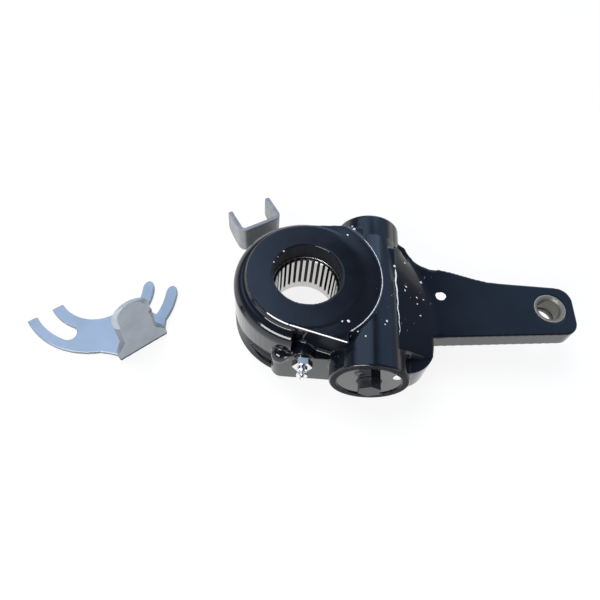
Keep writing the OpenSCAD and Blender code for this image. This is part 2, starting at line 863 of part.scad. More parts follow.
module worm_shaft() {
    hex_y = cover_y - free_gap;
    color(steel) {
        translate([worm_x, 0, 0]) worm_thread();
        on_worm() rotate_extrude() polygon([
            [0, hex_y], [shaft_r, hex_y], [shaft_r, cone_y0], [cone_r0, cone_y0], [cone_r1, cone_y1],
            [cone_r1, cone_y1 + cone_rim], [worm_root_r, cone_y1 + cone_lead], [worm_root_r, worm_len / 2],
            [collar_r, worm_len / 2 + collar_bevel], [collar_r, collar_y1], [shaft_r, collar_y1],
            [shaft_r, race_r_y + race_t], [tail_r, race_r_y + race_t], [tail_r, tail_y1], [0, tail_y1]]);
        on_worm(cover_y - hex_out) rotate(30) cylinder(r = hex_af / sqrt(3), h = hex_out, $fn = 6);
    }
}

module clutch_ring() {
    grow = (cone_r1 - cone_r0) / (cone_y1 - cone_y0);
    color(dark_steel) on_worm() rotate_extrude() polygon([
        [shaft_r + run_gap, ring_hub_y0], [hub_r, ring_hub_y0], [hub_r, clutch_y0], [clutch_r, clutch_y0],
        [clutch_r, clutch_y1], [cone_r0 + run_gap + grow * (clutch_y1 - cone_y0), clutch_y1],
        [cone_r0 + run_gap, cone_y0 - run_gap], [shaft_r + run_gap, cone_y0 - run_gap]]);
}

// Control arm, disc, rack and pinion

bend = 4;
arm_half = 11;
ring_out = 36;
swage = 1.2;
bend_x = fork_r - bend - sheet;
plate_root = [12, 31.5];
plate_waist = [21.6, 28.8];
ear_bend = 2;
ear_nose = 1.5;
ear_run = 0.1;
ear_steps = 6;

// Plan of a sheet bent into a U, open towards +X
function u_plan(x0, x1, half, r) = concat([[x1, -half]], shift(arc(r, 270, 180, 6), [x0 + r, r - half]),
    shift(arc(r, 180, 90, 6), [x0 + r, half - r]), [[x1, half]]);

// Back wall of the fork with both its ears, bent from one sheet
module fork() {
    wall_x = fork_r - sheet;
    tip = wall_x + ear_len;
    half = fork_w / 2;
    low = fork_top - ear_root;
    tip_low = fork_top - ear_tip;
    intersection() {
        translate([0, 0, low]) linear_extrude(ear_root) difference() {
            polygon(u_plan(wall_x, tip + over, half, ear_bend + sheet));
            polygon(u_plan(fork_r, tip + 2 * over, half - sheet, ear_bend));
        }
        translate([wall_x, half + over, 0]) rotate([90, 0, 0]) linear_extrude(fork_w + 2 * over)
            polygon(concat([[-over, low - over], [-over, fork_top + over]],
                [[ear_len - ear_nose - over, fork_top + over], [ear_len, fork_top - ear_nose]],
                [for (i = [0 : ear_steps]) let (t = i / ear_steps)
                    [ear_len * (1 - (1 - ear_run) * t * t), tip_low - (tip_low - low) * (2 * t - t * t)]],
                [[ear_len * ear_run, low - over]]));
    }
}

// Flat plate of the control arm, swaged onto the neck of the control disc
module arm_plate() {
    difference() {
        linear_extrude(sheet) difference() {
            union() {
                circle(r = ring_out, $fn = 96);
                polygon([
                    [plate_root[0], -plate_root[1]], [plate_waist[0], -plate_waist[1]],
                    [bend_x, -arm_half], [bend_x, arm_half], plate_waist, plate_root]);
            }
            circle(r = neck_r + press_gap, $fn = 96);
        }
        translate([0, 0, -eps])
            cylinder(r1 = neck_r + swage + press_gap, r2 = neck_r + press_gap, h = swage);
    }
}

module control_arm() {
    wall_x = fork_r - sheet;
    wall_z = fork_top - ear_root;
    bend_top = plate_top + bend;
    color(zinc) rotate(fork_angle) {
        translate([0, 0, plate_low]) arm_plate();
        translate([bend_x, 0, bend_top]) sheet_bend(bend, sheet, 2 * arm_half);
        translate([wall_x, -arm_half, bend_top]) cube([sheet, 2 * arm_half, wall_z - bend_top + over]);
        fork();
    }
}

module control_disc() {
    color(dark_steel) difference() {
        rotate_extrude($fn = 96) polygon([
            [neck_in, plate_low], [neck_r + swage, plate_low], [neck_r, plate_low + swage],
            [neck_r, disc_low], [disc_r, disc_low], [disc_r, disc_top], [neck_in, disc_top]]);
        translate([-lug_half - notch_play, -disc_r - over, disc_low - over])
            cube([2 * (lug_half + notch_play), disc_r + over - notch_floor, disc_thick + 2 * over]);
    }
}

// Gap between two rack teeth, cut from the top
module rack_space() {
    half = rack_step / 4 + rack_play / 2;
    rise = rack_tip_z + pinion_r + room_gap;
    fall = pinion_r + rack_root_z;
    polygon([[-half - rise * flank, rise], [-half - fall * flank, fall], [half + fall * flank, fall],
        [half + rise * flank, rise]]);
}

module rack() {
    color(steel) difference() {
        union() {
            translate([rack_x0, -rack_y, rack_z]) rotate([0, 90, 0])
                cylinder(r = rack_r, h = rack_x1 - rack_x0);
            translate([-lug_half, -rack_y, lug_low])
                cube([2 * lug_half, rack_y - lug_in, rack_z - lug_low]);
        }
        translate([rack_flat_x, -rack_y - rack_r - over, rack_tip_z])
            cube([rack_x1 - rack_flat_x + over, 2 * (rack_r + over), 2 * rack_r]);
        for (k = [-3 : 2]) translate([worm_x + k * rack_step, -rack_y + rack_r + over, -pinion_r])
            rotate([90, 0, 0]) linear_extrude(2 * (rack_r + over)) rack_space();
    }
}

pinion_foot = pinion_r - dedendum * rack_module;
pinion_crest = pinion_r + rack_module - side_gap;
pinion_hub_r = min(hub_r, pinion_foot + 1);

// Outline of one pinion tooth, pointing along X
module pinion_tooth() {
    half = rack_step / 4 - rack_play / 2;
    foot = pinion_foot - free_gap;
    polygon([[foot, -half - (pinion_r - foot) * flank], [pinion_crest, -half + rack_module * flank],
        [pinion_crest, half - rack_module * flank], [foot, half + (pinion_r - foot) * flank]]);
}

module pinion() {
    color(dark_steel) on_worm() difference() {
        union() {
            translate([0, 0, teeth_y0]) linear_extrude(teeth_y1 - teeth_y0) {
                circle(r = pinion_foot);
                for (i = [0 : pinion_teeth - 1]) rotate(90 + i * 360 / pinion_teeth) pinion_tooth();
            }
            translate([0, 0, teeth_y1 - eps]) cylinder(r = pinion_hub_r, h = pinion_y1 - teeth_y1 + eps);
            translate([0, 0, pinion_y0]) cylinder(r = pinion_foot, h = teeth_y0 - pinion_y0 + eps);
        }
        translate([0, 0, pinion_y0 - over])
            cylinder(r = shaft_r + rack_gap, h = pinion_y1 - pinion_y0 + 2 * over);
    }
}

module one_way_spring() {
    wire = 0.7;
    color(steel) translate([worm_x, 0, 0]) wire_coil(hub_r + wire + free_gap, wire,
        teeth_y1 + wire + free_gap, clutch_y0 - wire - free_gap, 3, 20, 6);
}

// Anchor bracket, lying beside the adjuster

// Angles of the bracket's outline, from the direction of its tab
left_end = -92.7;
slot_end = -56.7;
finger_w = 7.4;
finger_nose = 1.6;
finger_in_end = 53;
finger_out_end = 49.3;
finger_foot = 27.3;
finger_lap = 5;
web_start = -26.4;
web_end = -2.7;
web_step = 3;
slot_over = 10;
tab_shift = 2.9;
flare_pull = [49, -13.4];
foot_inset = 0.7;

// Curved band between two angles, its far end rounded or drawn out to a nose
function band(mid_r, half, a0, a1, nose = 1) = concat(arc(mid_r + half, a0, a1, 12),
    [for (i = [1 : 7]) let (b = 180 * i / 8) polar(mid_r + half * cos(b), a1)
        + polar(nose * half * sin(b), a1 + 90)],
    arc(mid_r - half, a1, a0, 12));

// Smooth curve from a to c, pulled towards b, without the point a itself
function curve(a, b, c, n) = [for (i = [1 : n]) let (t = i / n)
    (1 - t) * (1 - t) * a + 2 * t * (1 - t) * b + t * t * c];

// Flat crescent with a slotted fork at each end
module crescent() {
    foot_half = tab_foot / 2 - foot_inset;
    seat = tab_r - bracket_t + over;
    in_r = slot2_r - (slot2_w + finger_w) / 2;
    out_r = slot2_r + (slot2_w + finger_w) / 2;
    difference() {
        union() {
            polygon(concat(arc(crescent_out, left_end, web_start, 12),
                curve(polar(crescent_out, web_start), flare_pull, [seat, tab_shift - foot_half], 6),
                [[seat, tab_shift + foot_half], polar(out_r + finger_w / 2, finger_foot)],
                [polar(crescent_in + web_step, finger_foot)], arc(crescent_in, web_end, left_end, 16)));
            polygon(band(in_r, finger_w / 2, finger_foot - finger_lap, finger_in_end, finger_nose));
            polygon(band(out_r, finger_w / 2, finger_foot - finger_lap, finger_out_end, finger_nose));
        }
        polygon(band(slot_r, slot_w / 2, left_end - slot_over, slot_end));
    }
}

rim_foot = 33.5;
tab_neck = 17;
tab_straight = 8;
tab_lift = 0.4;
dome_back = 40;
dome_front = 42;
back_dip = 1;
side_bevel = 2.2;
arch_step = 0.2;
rim_step = rim_foot + arch_step;

// Outline of the tab above its foot, at one depth of its bevelled edge
function tab_ring(x, half, arch, spring, top) = [for (p = concat(
    [[-tab_foot / 2, tab_straight], [tab_foot / 2, tab_straight]],
    [[half, tab_neck], [half, rim_foot], [arch, rim_step]],
    [for (i = [0 : 16]) let (a = 180 * i / 16) [arch * cos(a), spring + (top - spring) * sin(a)]],
    [[-arch, rim_step], [-half, rim_foot], [-half, tab_neck]])) [x, p[0], p[1]]];

// Upright tab on a plain foot, its edge bevelled from the back to the narrower front face
module tab() {
    half = tab_w / 2;
    translate([0, -tab_foot / 2, tab_lift]) cube([bracket_t, tab_foot, tab_straight - tab_lift]);
    sweep([tab_ring(0, half, half - arch_step, dome_back, tab_h - back_dip),
        tab_ring(bracket_t, half - side_bevel, panel_w / 2, dome_front, tab_h)]);
}

module anchor_bracket() {
    color(zinc) translate([bracket_x, bracket_y, floor_z]) rotate(tab_angle) {
        linear_extrude(bracket_t) crescent();
        translate([tab_r - bracket_t, tab_shift, 0]) tab();
    }
}

housing();
arm_bush();
front_cover();
front_bush();
shaft_seal();
rear_plug();
rear_plug_seal();
thrust_cage();
thrust_rollers();
thrust_race_rear();
clutch_spring();
bearing_ring();
control_cover();
cover_gasket();
cover_screws();
neck_seal();
rack_plug();
grease_nipple();
nipple_ball();
worm_wheel();
wheel_seal();
worm_shaft();
clutch_ring();
thrust_race_front();
control_arm();
control_disc();
rack();
pinion();
one_way_spring();
anchor_bracket();
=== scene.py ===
"""Looks of a self-setting brake slack adjuster and its loose anchor bracket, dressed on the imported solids."""

import logging
import math
import random
from dataclasses import dataclass, field
from enum import Enum

import bmesh
import bpy
from mathutils import Matrix, Vector, noise
from mathutils.bvhtree import BVHTree


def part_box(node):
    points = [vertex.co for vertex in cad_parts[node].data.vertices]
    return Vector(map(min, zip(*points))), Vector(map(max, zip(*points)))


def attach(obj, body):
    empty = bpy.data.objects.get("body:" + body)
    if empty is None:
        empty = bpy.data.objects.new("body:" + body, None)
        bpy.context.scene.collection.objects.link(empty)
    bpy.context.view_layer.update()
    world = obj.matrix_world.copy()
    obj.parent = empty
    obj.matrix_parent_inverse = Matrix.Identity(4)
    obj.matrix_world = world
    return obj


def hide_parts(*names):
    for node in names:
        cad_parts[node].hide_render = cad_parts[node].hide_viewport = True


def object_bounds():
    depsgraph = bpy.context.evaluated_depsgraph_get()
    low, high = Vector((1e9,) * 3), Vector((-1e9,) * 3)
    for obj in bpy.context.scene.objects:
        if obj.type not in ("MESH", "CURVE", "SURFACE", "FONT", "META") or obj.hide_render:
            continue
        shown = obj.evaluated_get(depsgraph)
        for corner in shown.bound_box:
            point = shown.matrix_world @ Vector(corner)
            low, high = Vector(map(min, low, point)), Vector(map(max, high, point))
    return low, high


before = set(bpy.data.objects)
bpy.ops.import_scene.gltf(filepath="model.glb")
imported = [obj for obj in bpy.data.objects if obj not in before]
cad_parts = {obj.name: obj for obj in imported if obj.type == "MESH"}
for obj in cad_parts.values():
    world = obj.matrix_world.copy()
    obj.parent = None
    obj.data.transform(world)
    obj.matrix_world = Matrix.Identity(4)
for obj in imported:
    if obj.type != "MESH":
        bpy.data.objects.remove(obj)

MM = 0.001
CAD_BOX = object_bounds()
NOISE_SPAN = (0.3, 0.7)
LOG = logging.getLogger("slack_adjuster")

Pair = tuple[float, float]
Triple = tuple[float, float, float]
Colour = Triple
Socket = bpy.types.NodeSocket
Mesh = bpy.types.Mesh
Material = bpy.types.Material


class Body(Enum):
    """Moving bodies that carry new pieces, by their names in the frame."""

    CASTING = "housing"
    CONTROL = "control"
    BRACKET = "bracket"


class Slot(Enum):
    """Material slots of the record, named for new pieces but not given to them."""

    ENAMEL = "enamel"
    ZINC_SHEET = "zinc_sheet"
    BRACKET_ZINC = "bracket_zinc"
    PLATED = "plated_steel"


class Coat(Enum):
    """Coats of the casting's skin, in the order of its material numbers."""

    ENAMEL = 0
    PRIMER = 1
    # Painted shade: a dim copy of the enamel for spots where shade falls.
    THIN = 2
    ARM = 3


class Zone(Enum):
    """Zones of the anchor bracket with painted light and shade, in the order of its material numbers."""

    PLATE = 0
    TAB = 1
    RIM = 2
    FACET = 3
    FOOT_SHADOW = 4


@dataclass(frozen=True)
class Relief:
    """Fine relief of a finish: a noise that the surface's normal follows."""

    scale: float
    strength: float
    depth: float
    detail: float = 3.0


class NodeGraph:
    """A node tree that is built a few nodes at a time."""

    def __init__(self, tree: bpy.types.NodeTree) -> None:
        """Starts with an emptied tree."""
        self.tree = tree
        self.tree.nodes.clear()

    def add(self, kind: str, **settings: object) -> bpy.types.Node:
        """Adds a node.

        Args:
            kind: Blender's name of the node type, without its first words.
            **settings: Attributes to set on the node.

        Returns:
            The new node.
        """
        node = self.tree.nodes.new("ShaderNode" + kind)
        for key, value in settings.items():
            setattr(node, key, value)
        return node

    def link(self, source: Socket, target: Socket) -> None:
        """Joins two sockets."""
        self.tree.links.new(source, target)

    def math(self, operation: str, first: Socket, second: Socket | float) -> Socket:
        """Adds a calculation with two numbers.

        Args:
            operation: Blender's name of the calculation.
            first: First number.
            second: Second number, a socket or a constant.

        Returns:
            The result.
        """
        node = self.add("Math", operation=operation)
        self.link(first, node.inputs[0])
        if isinstance(second, (int, float)):
            node.inputs[1].default_value = second
        else:
            self.link(second, node.inputs[1])
        return node.outputs["Value"]

    def spread(self, factor: Socket, source: Pair, target: Pair) -> Socket:
        """Maps a number smoothly from one range onto another.

        Args:
            factor: The number.
            source: Range that it comes from.
            target: Range that it goes to.

        Returns:
            The mapped number.
        """
        node = self.add("MapRange", interpolation_type="SMOOTHSTEP")
        for key, value in zip(("From Min", "From Max", "To Min", "To Max"), (*source, *target)):
            node.inputs[key].default_value = value
        self.link(factor, node.inputs["Value"])
        return node.outputs["Result"]

    def ramp(self, factor: Socket, stops: list[tuple[float, Colour]]) -> Socket:
        """Adds a colour ramp.

        Args:
            factor: Number that drives the ramp.
            stops: Place and colour of each stop.

        Returns:
            The ramp's colour.
        """
        node = self.add("ValToRGB")
        elements = node.color_ramp.elements
        while len(elements) < len(stops):
            elements.new(0.5)
        for element, (place, colour) in zip(elements, stops):
            element.position = place
            element.color = (*colour, 1.0)
        self.link(factor, node.inputs["Fac"])
        return node.outputs["Color"]


class ShaderGraph(NodeGraph):
    """A material with one principled shader."""

    def __init__(self, name: str) -> None:
        """Starts a material.

        Args:
            name: Name of the material.
        """
        self.material = bpy.data.materials.new(name)
        self.material.use_nodes = True
        super().__init__(self.material.node_tree)
        self.shader = self.add("BsdfPrincipled")
        output = self.add("OutputMaterial")
        self.link(self.shader.outputs["BSDF"], output.inputs["Surface"])
        self.place = self.add("TexCoord").outputs["Object"]

    def set(self, **values: object) -> None:
        """Sets constant values on the shader's own sockets, with _ for a space in a socket's name."""
        for key, value in values.items():
            self.shader.inputs[key.replace("_", " ")].default_value = value

    def drive(self, **sources: Socket) -> None:
        """Links the shader's own sockets, with _ for a space in a socket's name."""
        for key, source in sources.items():
            self.link(source, self.shader.inputs[key.replace("_", " ")])

    def mapped(self, scale: Triple, shift: Triple = (0.0, 0.0, 0.0)) -> Socket:
        """Scales and shifts the piece's own coordinates.

        Args:
            scale: Scale along each axis.
            shift: Shift along each axis, in metres.

        Returns:
            The new coordinates.
        """
        mapping = self.add("Mapping")
        mapping.inputs["Scale"].default_value = scale
        mapping.inputs["Location"].default_value = shift
        self.link(self.place, mapping.inputs["Vector"])
        return mapping.outputs["Vector"]

    def noise(self, scale: float, detail: float = 3.0, stretch: Triple = (1.0, 1.0, 1.0)) -> Socket:
        """Adds a noise texture in the piece's own space.

        Args:
            scale: Cells per metre.
            detail: Octaves of finer noise.
            stretch: Scale along each axis, for brushed or streaky patterns.

        Returns:
            The noise, from 0 to 1.
        """
        texture = self.add("TexNoise")
        texture.inputs["Scale"].default_value = scale
        texture.inputs["Detail"].default_value = detail
        self.link(self.mapped(stretch), texture.inputs["Vector"])
        return texture.outputs["Fac"]

    def axis_distance(self, axis: Pair) -> Socket:
        """Adds the distance from a vertical axis.

        Args:
            axis: Place of the axis in the frame, in metres.

        Returns:
            The distance in metres.
        """
        node = self.add("VectorMath", operation="LENGTH")
        self.link(self.mapped((1.0, 1.0, 0.0), (-axis[0], -axis[1], 0.0)), node.inputs[0])
        return node.outputs["Value"]

    def bump(self, *heights: tuple[Socket, float, float]) -> None:
        """Chains bumps onto the shader's normal.

        Args:
            *heights: Height socket, strength and distance in metres of each bump.
        """
        normal = None
        for height, strength, distance in heights:
            node = self.add("Bump")
            node.inputs["Strength"].default_value = strength
            node.inputs["Distance"].default_value = distance
            self.link(height, node.inputs["Height"])
            if normal is not None:
                self.link(normal, node.inputs["Normal"])
            normal = node.outputs["Normal"]
        self.drive(Normal=normal)

    def roughen(self, *reliefs: Relief) -> None:
        """Bumps the surface with one noise after another."""
        self.bump(*((self.noise(r.scale, r.detail), r.strength, r.depth) for r in reliefs))


@dataclass(frozen=True)
class Enamel:
    """Glossy black enamel that pools over a rough casting, and may reflect less below a span along X, a painted
    shade.
    """

    name: str = "black_enamel"
    deep: Colour = (0.0035, 0.0045, 0.0075)
    pale: Colour = (0.006, 0.008, 0.013)
    gloss: Pair = (0.06, 0.12)
    index: float = 1.52
    coat: float = 0.25
    coat_rough: float = 0.04
    shade_span: Pair | None = None
    sheen: Pair = (0.17, 0.5)
    pool_scale: float = 38.0
    pool_span: Pair = (0.35, 0.7)
    gloss_scale: float = 90.0
    peel: Relief = Relief(160.0, 0.30, 0.10 * MM, 2.0)
    grain: Relief = Relief(900.0, 0.10, 0.04 * MM, 4.0)

    def material(self) -> Material:
        """Makes the material.

        Returns:
            The enamel.
        """
        graph = ShaderGraph(self.name)
        stops = list(zip(self.pool_span, (self.deep, self.pale)))
        graph.drive(
            Base_Color=graph.ramp(graph.noise(self.pool_scale), stops),
            Roughness=graph.spread(graph.noise(self.gloss_scale), NOISE_SPAN, self.gloss))
        graph.set(IOR=self.index, Coat_Weight=self.coat, Coat_Roughness=self.coat_rough)
        # Painted shade: the enamel reflects less below the span, so it looks darker there.
        if self.shade_span is not None:
            split = graph.add("SeparateXYZ")
            graph.link(graph.place, split.inputs["Vector"])
            graph.drive(Specular_IOR_Level=graph.spread(split.outputs["X"], self.shade_span, self.sheen))
        graph.roughen(self.peel, self.grain)
        return graph.material


@dataclass(frozen=True)
class Metal:
    """Bare or plated metal with cloudy tone, streaks and fine scratches."""

    name: str
    dark: Colour
    light: Colour
    rough: Pair = (0.25, 0.4)
    metallic: float = 1.0
    cloud_scale: float = 60.0
    cloud_detail: float = 4.0
    cloud_span: Pair = (0.3, 0.72)
    streak: Triple = (1.0, 1.0, 1.0)
    streak_scale: float = 700.0
    bump_strength: float = 0.25
    bump_depth: float = 0.03 * MM

    def material(self) -> Material:
        """Makes the material.

        Returns:
            The metal.
        """
        graph = ShaderGraph(self.name)
        streaks = graph.noise(self.streak_scale, stretch=self.streak)
        clouds = graph.noise(self.cloud_scale, self.cloud_detail)
        graph.drive(
            Base_Color=graph.ramp(clouds, list(zip(self.cloud_span, (self.dark, self.light)))),
            Roughness=graph.spread(streaks, NOISE_SPAN, self.rough))
        graph.set(Metallic=self.metallic)
        graph.bump((streaks, self.bump_strength, self.bump_depth))
        return graph.material


@dataclass(frozen=True)
class TurnedSteel:
    """Steel whose tone changes with the distance from an axis: painted light and shade in bores, dark bands
    where shade falls, light bands where light catches.
    """

    name: str
    axis: Pair
    rings: tuple[tuple[float, Colour], ...]
    rough: Pair = (0.2, 0.36)
    metallic: float = 1.0
    reach: float = 32.0 * MM
    streak: Triple = (1.0, 1.0, 0.05)
    streak_scale: float = 900.0
    bump_strength: float = 0.3
    bump_depth: float = 0.03 * MM

    def material(self) -> Material:
        """Makes the material.

        Returns:
            The steel.
        """
        graph = ShaderGraph(self.name)
        share = graph.math("DIVIDE", graph.axis_distance(self.axis), self.reach)
        streaks = graph.noise(self.streak_scale, stretch=self.streak)
        graph.drive(
            Base_Color=graph.ramp(share, [(radius / self.reach, colour) for radius, colour in self.rings]),
            Roughness=graph.spread(streaks, NOISE_SPAN, self.rough))
        graph.set(Metallic=self.metallic)
        graph.bump((streaks, self.bump_strength, self.bump_depth))
        return graph.material


@dataclass(frozen=True)
class Coating:
    """A plain opaque layer of slightly uneven tone, such as seal rubber or the white drop in the arm's dimple.
    """

    name: str
    first: Colour
    second: Colour
    tone_scale: float
    rough: float
    coat: float
    grain: Relief

    def material(self) -> Material:
        """Makes the material.

        Returns:
            The coating.
        """
        graph = ShaderGraph(self.name)
        stops = list(zip(NOISE_SPAN, (self.first, self.second)))
        graph.drive(Base_Color=graph.ramp(graph.noise(self.tone_scale), stops))
        graph.set(Roughness=self.rough, Coat_Weight=self.coat)
        graph.roughen(self.grain)
        return graph.material


def made(finish: Enamel | Metal | TurnedSteel | Coating) -> object:
    """Returns a dataclass field that holds a finish's material."""
    return field(default_factory=finish.material)


@dataclass
class Finishes:
    """Every finish of the adjuster, made once."""

    enamel: Material = made(Enamel())
    # Partly painted highlight: the grain's lumps catch real light, and this more reflective copy of the enamel
    # makes them glint brighter.
    nib: Material = made(Enamel("enamel_nib", gloss=(0.28, 0.38), index=2.6, coat=0.5))
    # Partly painted highlight: a more reflective copy of the enamel, brightening the plateau's rounded front
    # edge.
    edge: Material = made(Enamel("enamel_edge", gloss=(0.07, 0.12), index=1.9, coat=0.6))
    # Painted shade: a dim, barely reflecting copy of the enamel for the casing's foot, pocket, barrel end and
    # rack plug.
    shade: Material = made(Enamel("shaded_enamel", gloss=(0.22, 0.34), index=1.13, coat=0.0))
    # Painted shade: the arm's enamel reflects less toward the arm's root.
    arm: Material = made(Enamel("arm_enamel", coat=0.0, shade_span=(70.0 * MM, 104.0 * MM)))
    primer: Material = made(Enamel("bore_primer", gloss=(0.45, 0.6), index=1.25, coat=0.0))
    rubber: Material = made(Coating(
        "seal_rubber", (0.012, 0.012, 0.012), (0.03, 0.03, 0.031), tone_scale=120.0, rough=0.7, coat=0.0,
        grain=Relief(1500.0, 0.2, 0.04 * MM)))
    mark: Material = made(Coating(
        "white_drop_coat", (0.86, 0.86, 0.86), (0.95, 0.95, 0.95), tone_scale=400.0, rough=0.35, coat=0.3,
        grain=Relief(600.0, 0.2, 0.05 * MM)))
    # Painted highlight: a pale, dull metal for the glints, the parting flash and the saddle's rim line.
    glint_paint: Material = made(Metal(
        "glint_highlight_paint", (0.55, 0.56, 0.58), (0.78, 0.79, 0.80), (0.3, 0.42), metallic=0.3, cloud_scale=300.0))
    # Painted light and shade: the bush is dark down its bore and light on its outer ring.
    bush: Material = made(TurnedSteel("bush_steel", axis=(150.0 * MM, 0.0), rings=(
        (7.3 * MM, (0.13, 0.127, 0.112)), (7.8 * MM, (0.19, 0.185, 0.16)),
        (9.2 * MM, (0.19, 0.185, 0.16)), (9.4 * MM, (0.40, 0.39, 0.36))), rough=(0.3, 0.42), metallic=0.35))
    cover: Material = made(Metal(
        "cover_steel", (0.13, 0.13, 0.134), (0.16, 0.16, 0.164), (0.06, 0.14), bump_depth=0.01 * MM))
    # Painted light and shade: the spline's grooves are near black, its lands and the counterbore's rim light.
    spline: Material = made(TurnedSteel("broached_steel", axis=(0.0, 0.0), rings=(
        (18.75 * MM, (0.62, 0.61, 0.60)), (19.15 * MM, (0.012, 0.012, 0.013)),
        (20.0 * MM, (0.012, 0.012, 0.013)), (20.2 * MM, (0.62, 0.61, 0.60)))))
    steel: Material = made(Metal(
        "machined_steel", (0.42, 0.41, 0.40), (0.60, 0.59, 0.58), (0.18, 0.34), streak=(1.0, 1.0, 0.06)))
    oxide: Material = made(Metal(
        "black_oxide", (0.034, 0.038, 0.044), (0.040, 0.044, 0.050), (0.28, 0.32), metallic=0.7,
        bump_depth=0.002 * MM))
    bronze: Material = made(Metal(
        "bearing_bronze", (0.36, 0.22, 0.09), (0.50, 0.34, 0.16), (0.25, 0.4)))
    plated: Material = made(Metal(
        "bright_plate", (0.82, 0.81, 0.79), (0.93, 0.92, 0.90), (0.10, 0.20), bump_depth=0.01 * MM))
    fork: Material = made(Metal(
        "galvanised_sheet", (0.25, 0.258, 0.268), (0.34, 0.35, 0.362), (0.34, 0.48), metallic=0.6,
        cloud_scale=140.0))
    # Painted light: the flat plate is lighter and bluer, as lit from above.
    plate: Material = made(Metal(
        "zinc_plate", (0.33, 0.39, 0.47), (0.385, 0.455, 0.545), (0.30, 0.42), metallic=0.6, cloud_scale=50.0))
    # Painted shade: the upright tab is greyer, as in shade.
    tab: Material = made(Metal(
        "zinc_tab", (0.30, 0.33, 0.37), (0.36, 0.40, 0.45), (0.36, 0.5), metallic=0.7, cloud_scale=90.0))
    # Painted highlight: the tab's rim band is paler than the tab.
    rim: Material = made(Metal(
        "pale_rim_highlight", (0.34, 0.38, 0.42), (0.42, 0.46, 0.50), (0.3, 0.42), metallic=0.3, cloud_scale=150.0))
    # Painted shade: darker faces where the sheet turns away from the flat and the tab's face.
    facet: Material = made(Metal(
        "shaded_facet", (0.17, 0.19, 0.22), (0.24, 0.26, 0.30), (0.34, 0.46), metallic=0.7, cloud_scale=120.0))
    # Painted shadow: a near-black band along the tab's foot where it meets the floor.
    foot_shadow: Material = made(Metal(
        "painted_tab_shadow", (0.012, 0.013, 0.016), (0.03, 0.032, 0.036), (0.4, 0.55), metallic=0.6,
        cloud_scale=300.0))


def unit(value: float) -> float:
    """Returns a number held between 0 and 1."""
    return min(1.0, max(0.0, value))


def leaning(side: Vector, turn: float) -> Vector:
    """Returns the direction that leans from straight up toward a side, by a turn in radians."""
    return side * math.sin(turn) + Vector((0.0, 0.0, math.cos(turn)))


def circle(steps: int) -> list[float]:
    """Returns the turns of evenly spaced points round a circle, in radians."""
    return [2 * math.pi * step / steps for step in range(steps)]


def surface_tree(mesh: Mesh) -> BVHTree:
    """Returns a search tree of a mesh's faces."""
    return BVHTree.FromPolygons([v.co for v in mesh.vertices], [tuple(p.vertices) for p in mesh.polygons])


def mesh_from(graph: bmesh.types.BMesh, name: str) -> Mesh:
    """Turns finished geometry into a mesh with outward normals.

    Args:
        graph: The geometry, which is freed.
        name: Name of the mesh.

    Returns:
        The mesh.
    """
    bmesh.ops.recalc_face_normals(graph, faces=graph.faces)
    mesh = bpy.data.meshes.new(name)
    graph.to_mesh(mesh)
    graph.free()
    return mesh


def loft(name: str, loops: list[list[Vector]], closed: bool = False) -> Mesh:
    """Joins loops of points into one surface.

    Args:
        name: Name of the mesh.
        loops: Points of each loop, the same number in each.
        closed: Whether the last loop joins the first, instead of a cap at either end.

    Returns:
        The mesh.
    """
    graph = bmesh.new()
    rows = [[graph.verts.new(point) for point in loop] for loop in loops]
    for one, other in zip(rows, rows[1:] + (rows[:1] if closed else [])):
        for i in range(len(one)):
            j = (i + 1) % len(one)
            graph.faces.new((one[i], one[j], other[j], other[i]))
    if not closed:
        graph.faces.new(rows[0])
        graph.faces.new(rows[-1])
    return mesh_from(graph, name)


def put(name: str, data: bpy.types.ID) -> bpy.types.Object:
    """Puts a new object in the scene.

    Args:
        name: Name of the object.
        data: Its mesh, lamp or camera.

    Returns:
        The object.
    """
    thing = bpy.data.objects.new(name, data)
    bpy.context.scene.collection.objects.link(thing)
    return thing


def new_piece(
    name: str, mesh: Mesh, body: Body, slot: Slot | None, finishes: list[Material],
    zones: list[int] | None = None,
) -> bpy.types.Object:
    """Puts a mesh in the scene as a smooth piece that rides on a body.

    Args:
        name: Name of the piece.
        mesh: Its mesh, in the shared frame.
        body: The body that carries it.
        slot: The record's slot named for it, or None; not used.
        finishes: Its materials.
        zones: Number of the material of each face, or None where there is one material.

    Returns:
        The new object.
    """
    piece = put(name, mesh)
    mesh.materials.clear()
    for finish in finishes:
        mesh.materials.append(finish)
    mesh.polygons.foreach_set("material_index", zones or [0] * len(mesh.polygons))
    mesh.polygons.foreach_set("use_smooth", [True] * len(mesh.polygons))
    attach(piece, body.value)
    LOG.info("piece %s on %s: %d faces", name, body.value, len(mesh.polygons))
    return piece


